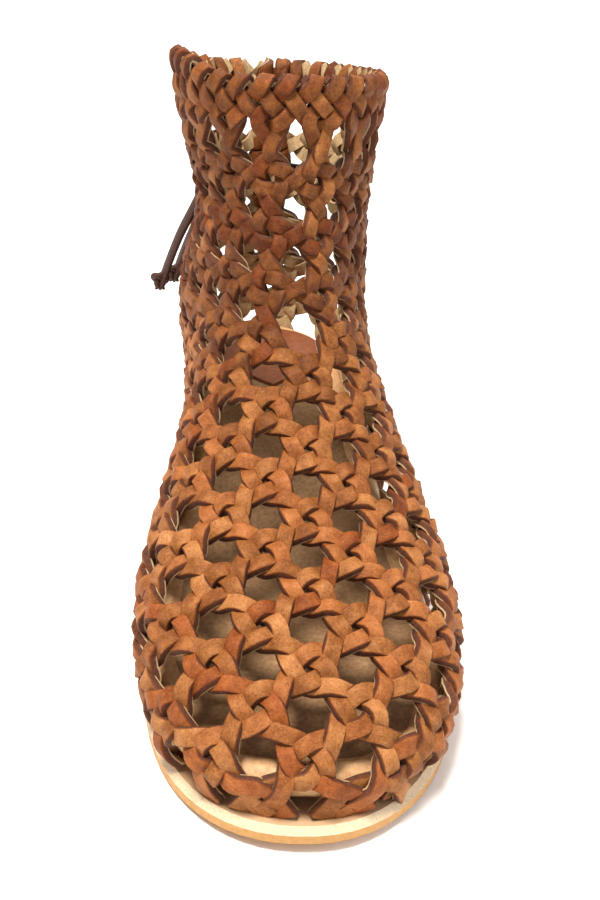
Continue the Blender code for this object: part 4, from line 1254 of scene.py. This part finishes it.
# %% [markdown]
# The crossings of the straps lie at the corners between arms, so two directions for each
# cluster are all that is needed to place them.

# %% Crossings inside a cluster
LEAN_LIMIT = 0.76          # corners of a leaning cluster are not pushed out further than this


class Crossings(Arms):
    """Where straps cross in and between the clusters of a net."""

    def axes(self, n):
        """The two directions of a cluster's straps, scaled to its corners."""
        up = outward(self.points[n])
        ways = []
        for k in (0, 1):
            ends = [self.arms[n][m] for m in (k, k + 2)]
            here = self.points[n]
            front = self.points[ends[0]] - here if ends[0] is not None else None
            back = here - self.points[ends[1]] if ends[1] is not None else None
            both = [unit(v) for v in (front, back) if v is not None]
            ways.append(sum(both) if both else None)
        if ways[0] is None:
            ways[0] = np.cross(ways[1], up)
        if ways[1] is None:
            ways[1] = np.cross(up, ways[0])
        ways = [unit(w - np.dot(w, up) * up) for w in ways]
        lean = max(np.linalg.norm(np.cross(ways[0], ways[1])), LEAN_LIMIT)
        return [w * SPACING / lean for w in ways]

    def corner(self, n, k):
        """Crossing between arm k and the next arm counter-clockwise."""
        a, b = self.axes(n)
        signs = CORNERS[k % 4]
        return self.points[n] + signs[0] * a + signs[1] * b

    def crossing(self, n, k, side):
        """Where the strap on one side of arm k crosses near it, and whether it is over."""
        if side == "left":
            return self.corner(n, k), OVER
        return self.corner(n, k - 1), UNDER

    def halfway(self, a, b, side):
        """Where the two straps of an arm change sides."""
        return (self.points[a] + self.points[b]) / 2.0, OVER if side == "right" else UNDER


print("a strap rises, mm:", OVER, "over and", UNDER, "under")

# %% [markdown]
# A strap does not end in the open. At the slit it turns back, and near the sole it runs
# beside the last cluster and straight down between upper and sole, where it is lasted in.

# %% Where a strap turns back or runs down
class Ends(Crossings):
    """What becomes of a strap at the slit and at the sole."""

    def __init__(self, net):
        """Keep every cluster's name, to find the cluster before the slit."""
        super().__init__(net)
        self.name_of = {n: name for name, n in net.names.items()}

    def turn_back(self, n):
        """Where a strap turns round at the edge of the slit."""
        side, i, _ = self.name_of[n]
        before = self.net.at(side, i, COLUMNS - 1)
        away = unit(self.points[n] - self.points[before])
        return snap(self.points[n] + away * SLIT_EDGE), SLIT_RISE

    def run_down(self, n, m, side):
        """A strap's last places: beside the low cluster it heads for, then into the sole."""
        way = unit(self.points[m] - self.points[n])
        left = np.cross(outward(self.points[m]), way)
        beside = self.points[m] + left * (SPACING if side == "right" else -SPACING)
        foot = beside + way * LAST_CLUSTER
        foot[2] = sole_top(foot[1]) - RUN_UNDER
        return [(spot, rise, 0.0) for spot, rise in zip((beside, foot), RUN_RISES)]


print("a strap that meets the sole is cut, mm below its face:", RUN_UNDER)

# %% [markdown]
# The collar band is a close flat braid: half the straps slant to the left and half to the
# right, over and under by turns in three rows. Those that slant right are wrapped over the
# rim and down inside; the others are tucked under them.

# %% The collar's braid
class Braid:
    """The collar band: two families of slanting straps over three rows of crossings."""

    def __init__(self, net):
        """Measure the top ring from one edge of the slit round the front to the other."""
        order = [("medial", j) for j in range(COLUMNS, 0, -1)]
        order += [("lateral", j) for j in range(1, COLUMNS + 1)]
        line = np.array([net.points[net.at(side, 0, j)] for side, j in order])
        self.line, self.run = line, run_along(line)
        self.place_of = {key: self.run[n] for n, key in enumerate(order)}
        self.half = 0.25 * self.run[-1] / (len(order) - 1)
        self.low, self.high = -SLIT_EDGE, self.run[-1] + SLIT_EDGE

    def at(self, along, share):
        """A place on the band: distance round the shaft, share of the band's height."""
        base = point_at(self.line, self.run, along)
        for past, end, before in ((-along, 0, 1), (along - self.run[-1], -1, -2)):
            if past > 0.0:
                base = self.line[end] + unit(self.line[end] - self.line[before]) * past
        base = snap(base)
        return snap(base + np.array((0.0, 0.0, share * band_height(base))))

    def climb(self, along, way):
        """A strap's crossings from the bottom row up; `way` is +1 leaning right, -1 left."""
        line = []
        for row, share in enumerate(BRAID_ROWS):
            over = (row != 1) == (way > 0)
            u = min(max(along + way * self.half * row, self.low), self.high)
            line.append((self.at(u, share), OVER if over else UNDER, 0.0))
        top = min(max(along + way * self.half * RIM_STEPS, self.low), self.high)
        if way > 0:
            rim = self.at(top, 1.0)
            line.append((rim + np.array((0.0, 0.0, WRAP_ABOVE)), 0.0, 0.5 * math.pi))
            for down in (0.5 * WRAP_INSIDE, WRAP_INSIDE):
                line.append((rim - np.array((0.0, 0.0, down)), WRAP_DEPTH, math.pi))
        else:
            line.append((self.at(top, TUCK_SHARE), TUCK_RISE, 0.0))
        return line

    def column(self, name, side):
        """A strap that comes up from the net into the band."""
        middle = self.place_of[name[0], name[2]]
        way = 1 if side == "left" else -1
        return self.climb(middle - way * self.half, way)

    def turns(self):
        """Straps that turn back at the foot of the band, one at every column."""
        found = []
        for middle in self.place_of.values():
            left = self.climb(middle - self.half, -1)
            right = self.climb(middle + self.half, 1)
            found.append(left[::-1] + [(self.at(middle, TURN_SHARE), UNDER, 0.0)] + right)
        return found


print("rows of crossings in the collar:", len(BRAID_ROWS))

# %% [markdown]
# The straps come in two pairs, and each strap leaves an arm on its left or right side. Where
# two straps cross inside a cluster, the one belonging to an arm goes over at the corner on
# that arm's left. Halfway along an arm the two straps of the pair change sides, the one from
# the right going over. Followed through, each strap goes over and under by turns. At the
# collar it joins the braid.

# %% Following the straps through the net
OTHER = {"left": "right", "right": "left"}


class Weave(Ends):
    """Every strap of the net, followed from end to end."""

    def strands(self):
        """Every strap as a list of (point, rise, turn over the rim), ends included."""
        self.braid = Braid(self.net)
        done, found = set(), self.braid.turns()
        for n, arms in self.arms.items():
            if n in self.collar or n in self.low:
                continue
            for k, m in enumerate(arms):
                for side in ("left", "right"):
                    if m is None or (n, k, side) in done:
                        continue
                    ahead = self.follow(n, k, side, done)
                    behind = self.follow(n, (k + 2) % 4, OTHER[side], done)
                    found.append(behind[::-1] + ahead)
        return found

    def follow(self, n, k, side, done):
        """Crossings met leaving cluster n by arm k."""
        line = []
        while True:
            line.append((*self.crossing(n, k, side), 0.0))
            done.add((n, k, side))
            m = self.arms[n][k]
            if m is None and n in self.slit:
                line.append((*self.turn_back(n), 0.0))
                side = OTHER[side]
                if (n, k, side) in done:
                    return line
                done.add((n, k, side))
                line.append((*self.crossing(n, k, side), 0.0))
                k, side = (k + 2) % 4, OTHER[side]
                continue
            if m is None:
                return line
            line.append((*self.halfway(n, m, side), 0.0))
            if m in self.low:
                return line + self.run_down(n, m, side)
            if m in self.collar:
                return line + self.braid.column(self.collar[m], side)
            back = self.arms[m].index(n)
            if (m, back, side) in done:
                return line
            done.add((m, back, side))
            line.append((*self.crossing(m, back, side), 0.0))
            n, k, side = m, (back + 2) % 4, OTHER[side]


print("a strap leaves an arm on its", " or ".join(OTHER))

# %% [markdown]
# A strand is laid by walking along its smooth line: every point is dropped on the last,
# lifted by its rise over or under its neighbour, and pressed in by the creases. Nothing in
# hand weaving is even, so each crossing gets a small roll of its own, and each strap its own
# width, tone and warmth, drawn from a fixed seed. Where the line meets the sole it is cut,
# and just above the sole the strap spreads a little, as a lasted strap does.

# %% Laying one strand
ROLL_SPREAD = 0.26         # radians a strap may tip either way at a crossing
RISE_SPREAD = 0.15         # millimetres its height may differ
WIDTH_SPREAD = 0.05        # share its width may differ
TONES = (0.07, 0.22)       # darkest and palest strap
RARE = 4                   # power that makes most straps plain and a few quite red
SHORTEST = 3               # a strap of this many rings or fewer is left out
OVER_RIM_FROM = 0.05       # radians of turn from which a strap counts as going over the rim


def lay_strand(straps, line, rng):
    """Turn crossings into a swept strap laid on the last, cut off at the sole."""
    rows = []
    for point, rise, turn in line:
        roll = rng.uniform(-ROLL_SPREAD, ROLL_SPREAD)
        rows.append((*point, rise + rng.uniform(-RISE_SPREAD, RISE_SPREAD), roll, turn))
    if len(rows) < 2:
        return
    sampled = curve_through(rows, STEP)
    width = STRAP_WIDTH * rng.uniform(1.0 - WIDTH_SPREAD, 1.0 + WIDTH_SPREAD)
    tone, warmth = rng.uniform(*TONES), rng.random() ** RARE
    centres, normals, rolls, widths, tones = [], [], [], [], []

    def flush():
        """Sweep what has been gathered, and begin again."""
        if len(centres) > SHORTEST:
            straps.sweep(centres, normals, rolls, widths, tones, warmth)
        for values in (centres, normals, rolls, widths, tones):
            values.clear()

    for row in sampled:
        base = snap(row[:3])
        if sole_gap(base) < 0.0:
            flush()
            continue
        up = outward(base)
        over_rim = math.sin(row[5]) if row[5] > OVER_RIM_FROM else 0.0
        spot = base + np.array((0.0, 0.0, max(row[2] - base[2], 0.0) * over_rim))
        centres.append(spot + up * (row[3] - crease_at(base)))
        normals.append(up * math.cos(row[5]) + np.array((0.0, 0.0, over_rim)))
        rolls.append(row[4])
        low = min(max(1.0 - sole_gap(base) / END_FROM, 0.0), 1.0)
        slim = 1.0 - SHAFT_NARROWER * smooth(base[2], *NARROW_BETWEEN)
        widths.append(width * slim * (1.0 + END_FLARE * low * low))
        # painted shade: up the instep and shaft the strap is painted darker, for the light from
        # above that reaches it less
        tones.append(tone - SHAFT_PAINTED_SHADE * smooth(base[2], *PAINTED_SHADE_BETWEEN))
    flush()


print("strap tones run from", TONES[0], "to", TONES[1])

# %% [markdown]
# All strands are followed through the net and laid. They are shared out over three meshes
# of about the same size, which keeps each one light enough to work with.

# %% Laying the weave
SEED = 7                   # the same boot every time

weave = Weave(NET)
strands = weave.strands()
rng = random.Random(SEED)
groups = [Straps() for _ in range(3)]
for strand in strands:
    target = min(groups, key=lambda g: len(g.faces))
    lay_strand(target, strand, rng)
print("strands:", len(strands), "faces:", sum(len(g.faces) for g in groups))

# %% [markdown]
# The two edges of the back slit are whipped: one strap is wound round the edge in a steep
# helix, from the rim down to the foot of the slit. A helix needs a centre line and two
# directions square to it, and both come from the last.

# %% Whipped edges of the slit
WHIP_STEPS = 14            # places along one turn of the whipping
WHIP_WARMTH = 0.2          # its straps are a little redder than most
EDGE_STEP = 0.5            # spacing of places down the slit's edge


def whip_edge(straps, side):
    """A strap wound round one edge of the slit, from the rim down to its foot."""
    braid = weave.braid
    end = braid.low if side == "medial" else braid.high
    line = [braid.at(end, share) for share in (1.0, 0.5, 0.0)]
    for i in range(1, SLIT_RING + 1):
        n = NET.at(side, i, COLUMNS)
        line.append(weave.turn_back(n)[0] if i < SLIT_RING else NET.points[n])
    core = curve_through(line, EDGE_STEP)
    run = run_along(core)
    along = np.gradient(core, axis=0)
    centres, normals = [], []
    for n in range(int(run[-1] / WHIP_PITCH * WHIP_STEPS)):
        at = n * WHIP_PITCH / WHIP_STEPS
        p, way = point_at(core, run, at), unit(point_at(along, run, at))
        out = outward(p)
        out = unit(out - np.dot(out, way) * way)
        beside = np.cross(way, out)
        a = 2.0 * math.pi * n / WHIP_STEPS
        radial = out * math.cos(a) + beside * math.sin(a)
        centres.append(p + radial * WHIP_RADIUS)
        normals.append(radial)
    level, width = [0.0] * len(centres), [STRAP_WIDTH] * len(centres)
    straps.sweep(centres, normals, level, width, level, WHIP_WARMTH)


for side in ("medial", "lateral"):
    whip_edge(groups[2], side)
print("whipping: pitch, mm:", WHIP_PITCH)

# %% [markdown]
# The three meshes become pieces. The first takes the place of the upper's plain wall: that
# solid stands for the woven leather in the simulation and would fill the weave if it showed.

# %% The woven pieces
for n, group in enumerate(groups):
    piece = group.piece(f"woven_straps_{n + 1}")
    if n == 0:
        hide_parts("upper")

# %% [markdown]
# Small pieces are all made the same way: a mesh from points and faces, a leather, and a ride
# on the boot.

# %% A plain piece
def plain_piece(name, points, faces, material):
    """A smooth mesh that rides on the boot, with one leather."""
    mesh = bpy.data.meshes.new(name)
    mesh.from_pydata(points, [], faces)
    mesh.materials.append(material)
    mesh.shade_smooth()
    piece = bpy.data.objects.new(name, mesh)
    bpy.context.scene.collection.objects.link(piece)
    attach(piece, "root")
    return piece


# %% [markdown]
# The footbed's edge is a soft roll of light leather that shows between the straps. It is
# padded, so it swells a little between one strap end and the next.

# %% The padded roll's sizes
# section of the roll: height above the outsole, distance in from the middle of the wall
ROLL_COLUMNS = ("height", "inset")
ROLL = (
    (3.6, 3.6), (4.4, 2.6), (6.0, 1.9), (8.0, 1.7), (9.8, 2.0), (11.3, 2.9), (12.4, 4.4),
    (12.9, 6.2), (12.6, 8.0), (11.2, 9.6),
)
ROLL_PUFF = 0.35           # how far it swells and sinks
ROLL_PUFF_LENGTH = 17.0    # from one swelling to the next
ROLL_POINTS = 300          # points round the roll
ROLL_SMOOTHED = 3          # times each loop is smoothed
HEIGHTS = [row[ROLL_COLUMNS.index("height")] for row in ROLL]
print("roll, mm high:", max(HEIGHTS) - min(HEIGHTS))

# %% [markdown]
# The roll is a loft of closed loops round the inside of the wall. A loop found by sighting
# has corners, so it is shared out evenly and smoothed before it is lofted.

# %% Lofting the roll
def even_loop(height, inset):
    """The inside of the wall as evenly spaced, smoothed points, and their distances."""
    loop = [np.array(p) for p in wall_loop(height, inset)]
    line = np.array(loop + loop[:1])
    run = run_along(line)
    shares = np.linspace(0.0, run[-1], ROLL_POINTS, endpoint=False)
    fine = np.array([point_at(line, run, at) for at in shares])
    for _ in range(ROLL_SMOOTHED):
        fine = (np.roll(fine, 1, axis=0) + 2.0 * fine + np.roll(fine, -1, axis=0)) / 4.0
    return fine, shares


def footbed_roll():
    """Loft the roll, swelling a little between one strap end and the next."""
    points = []
    for height, inset in ROLL:
        fine, shares = even_loop(height, inset)
        along = np.roll(fine, -1, axis=0) - np.roll(fine, 1, axis=0)
        for p, way, at in zip(fine, along, shares):
            out = np.array((way[1], -way[0], 0.0)) / np.linalg.norm(way[:2])
            swell = ROLL_PUFF * math.sin(2.0 * math.pi * at / ROLL_PUFF_LENGTH)
            points.append(place(p + out * swell))
    faces = skin(0, len(ROLL), ROLL_POINTS)
    plain_piece("footbed_roll", points, faces, FOOTBED_LEATHER)
    print("footbed roll:", len(faces), "faces")


footbed_roll()

# %% [markdown]
# Two ends of a flat dark lace hang beside the medial back, each tied off in a small knot.
# The lace is cut from thin hide and waxed, so it is darker, smoother and limper than the
# straps. Its patches are those of the wax, a little over a millimetre wide.

# %% Lace leather
# waxed lace leather: cut from a thin strap hide, dyed dark, a dull waxy sheen
LACE_LEATHER = plain_leather("waxed dark brown lace leather", "#2E1408", "#46210F", 0.65, 1.25)
print("lace leather:", LACE_LEATHER.name)

# %% [markdown]
# Under its knot the lace's end is split into short tails. Each is a flat strip that tapers
# to its cut end; it begins inside the knot, so its hidden end needs no face.

# %% A split tail
KNOT_LACE = 1.25           # radius of the lace, rolled round and thin by the pull
TAILS = (-0.38, 0.0, 0.34)  # lean of each cut tail under the knot, in radians
TAIL_LONG = 3.2
TAIL_WIDE = 1.7
TAIL_TAPER = 0.6           # share of its width that is left at the cut
TAIL_THICK = 0.8


def tail(points, faces, middle, lean):
    """Add one cut tail to a knot's points and faces."""
    first = len(points)
    way = np.array((math.sin(lean), 0.0, -math.cos(lean)))
    side = np.array((math.cos(lean), 0.0, math.sin(lean)))
    for along, width in ((0.0, TAIL_WIDE), (1.0, TAIL_TAPER * TAIL_WIDE)):
        spot = middle + way * (KNOT_LACE + TAIL_LONG * along)
        for a, b in CORNERS:
            thick = np.array((0.0, b * TAIL_THICK / 2, 0.0))
            points.append(place(spot + side * (a * width / 2) + thick))
    faces += skin(first, 2, len(CORNERS))
    faces.append(tuple(range(first + len(CORNERS), len(points))))


print("tails under a knot:", len(TAILS), "each", TAIL_LONG, "mm long")

# %% [markdown]
# An overhand knot is a trefoil, and a trefoil has a short formula: two turns one way and
# three the other. Sculpting it would give nothing more at this size. The tails are added to
# the same mesh, so that knot and tails are one piece that hangs on the cord.

# %% The knot
KNOT_STEPS = 60            # places round the trefoil
KNOT_SIDES = 8             # sides of its round lace
KNOT_PULL = 0.75           # how small the trefoil is pulled, in radii of the lace
KNOT_DEEP = 0.9            # and how deep it lies from front to back
KNOT_FRONT = (0.0, 1.0, 0.05)  # the lace's sides are counted from square to this


def knot(name, middle):
    """An overhand knot pulled small: a trefoil of round lace, with split tails."""
    loop = []
    for n in range(KNOT_STEPS):
        a = 2.0 * math.pi * n / KNOT_STEPS
        bend = np.array((math.sin(a) + 2.0 * math.sin(2 * a), -math.sin(3 * a) * KNOT_DEEP,
                         math.cos(a) - 2.0 * math.cos(2 * a)))
        loop.append(bend * KNOT_LACE * KNOT_PULL + middle)
    loop = np.array(loop)
    along = np.roll(loop, -1, axis=0) - np.roll(loop, 1, axis=0)
    points = []
    for p, way in zip(loop, along):
        way = unit(way)
        side = unit(np.cross(way, KNOT_FRONT))
        up = np.cross(side, way)
        for k in range(KNOT_SIDES):
            a = 2.0 * math.pi * k / KNOT_SIDES
            points.append(place(p + (side * math.cos(a) + up * math.sin(a)) * KNOT_LACE))
    faces = skin(0, KNOT_STEPS, KNOT_SIDES, closed=True)
    for lean in TAILS:
        tail(points, faces, middle, lean)
    return plain_piece(name, points, faces, LACE_LEATHER)


print("a knot has", KNOT_STEPS * KNOT_SIDES, "faces and", len(TAILS), "tails")

# %% [markdown]
# Each end follows its route from under the lace that crosses the slit down to its knot. It
# is flat, four corners swept along the route.

# %% The hanging ends
LACE_FACES = (-0.95, -0.30, 0.0)  # its flat side lies against the boot's medial side
LACE_STEP = 1.5            # spacing of places along it
KNOT_ABOVE = 3.0           # its knot sits this far above its end


def lace_end(node, route):
    """A flat lace along its route, with a knot just above its end."""
    path = curve_through(route, LACE_STEP)
    points = []
    for p, way in zip(path, np.gradient(path, axis=0)):
        way = unit(way)
        side = unit(np.cross(way, LACE_FACES))
        out = np.cross(side, way)
        for a, b in CORNERS:
            points.append(place(p + side * (a * LACE_WIDTH / 2) + out * (b * LACE_THICK / 2)))
    faces = skin(0, len(path), len(CORNERS))
    faces += [(0, 3, 2, 1), tuple(range(len(points) - len(CORNERS), len(points)))]
    piece = plain_piece(node + "_lace", points, faces, LACE_LEATHER)
    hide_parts(node)
    tied = knot(node + "_knot", np.array(route[-1]) + np.array((0.0, 0.0, KNOT_ABOVE)))


for node, route in LACE_ENDS.items():
    lace_end(node, route)

# %% [markdown]
# Sole, footbed, insole, heel and the crossing lace already have their true shape as solids.
# They only need their leather, and every slot of such a solid takes the same one.

# %% Leather on the solids that keep their shape
FINISH = {"outsole": SOLE_LEATHER, "footbed": FOOTBED_LEATHER, "insole": SUEDE,
          "heel_pad": PAD_LEATHER, "heel_block": HEEL_LEATHER, "heel_top_piece": TOP_RUBBER,
          "lace_crossing": LACE_LEATHER}
for node, material in FINISH.items():
    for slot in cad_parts[node].material_slots:
        slot.material = material
print("finished nodes:", ", ".join(FINISH))
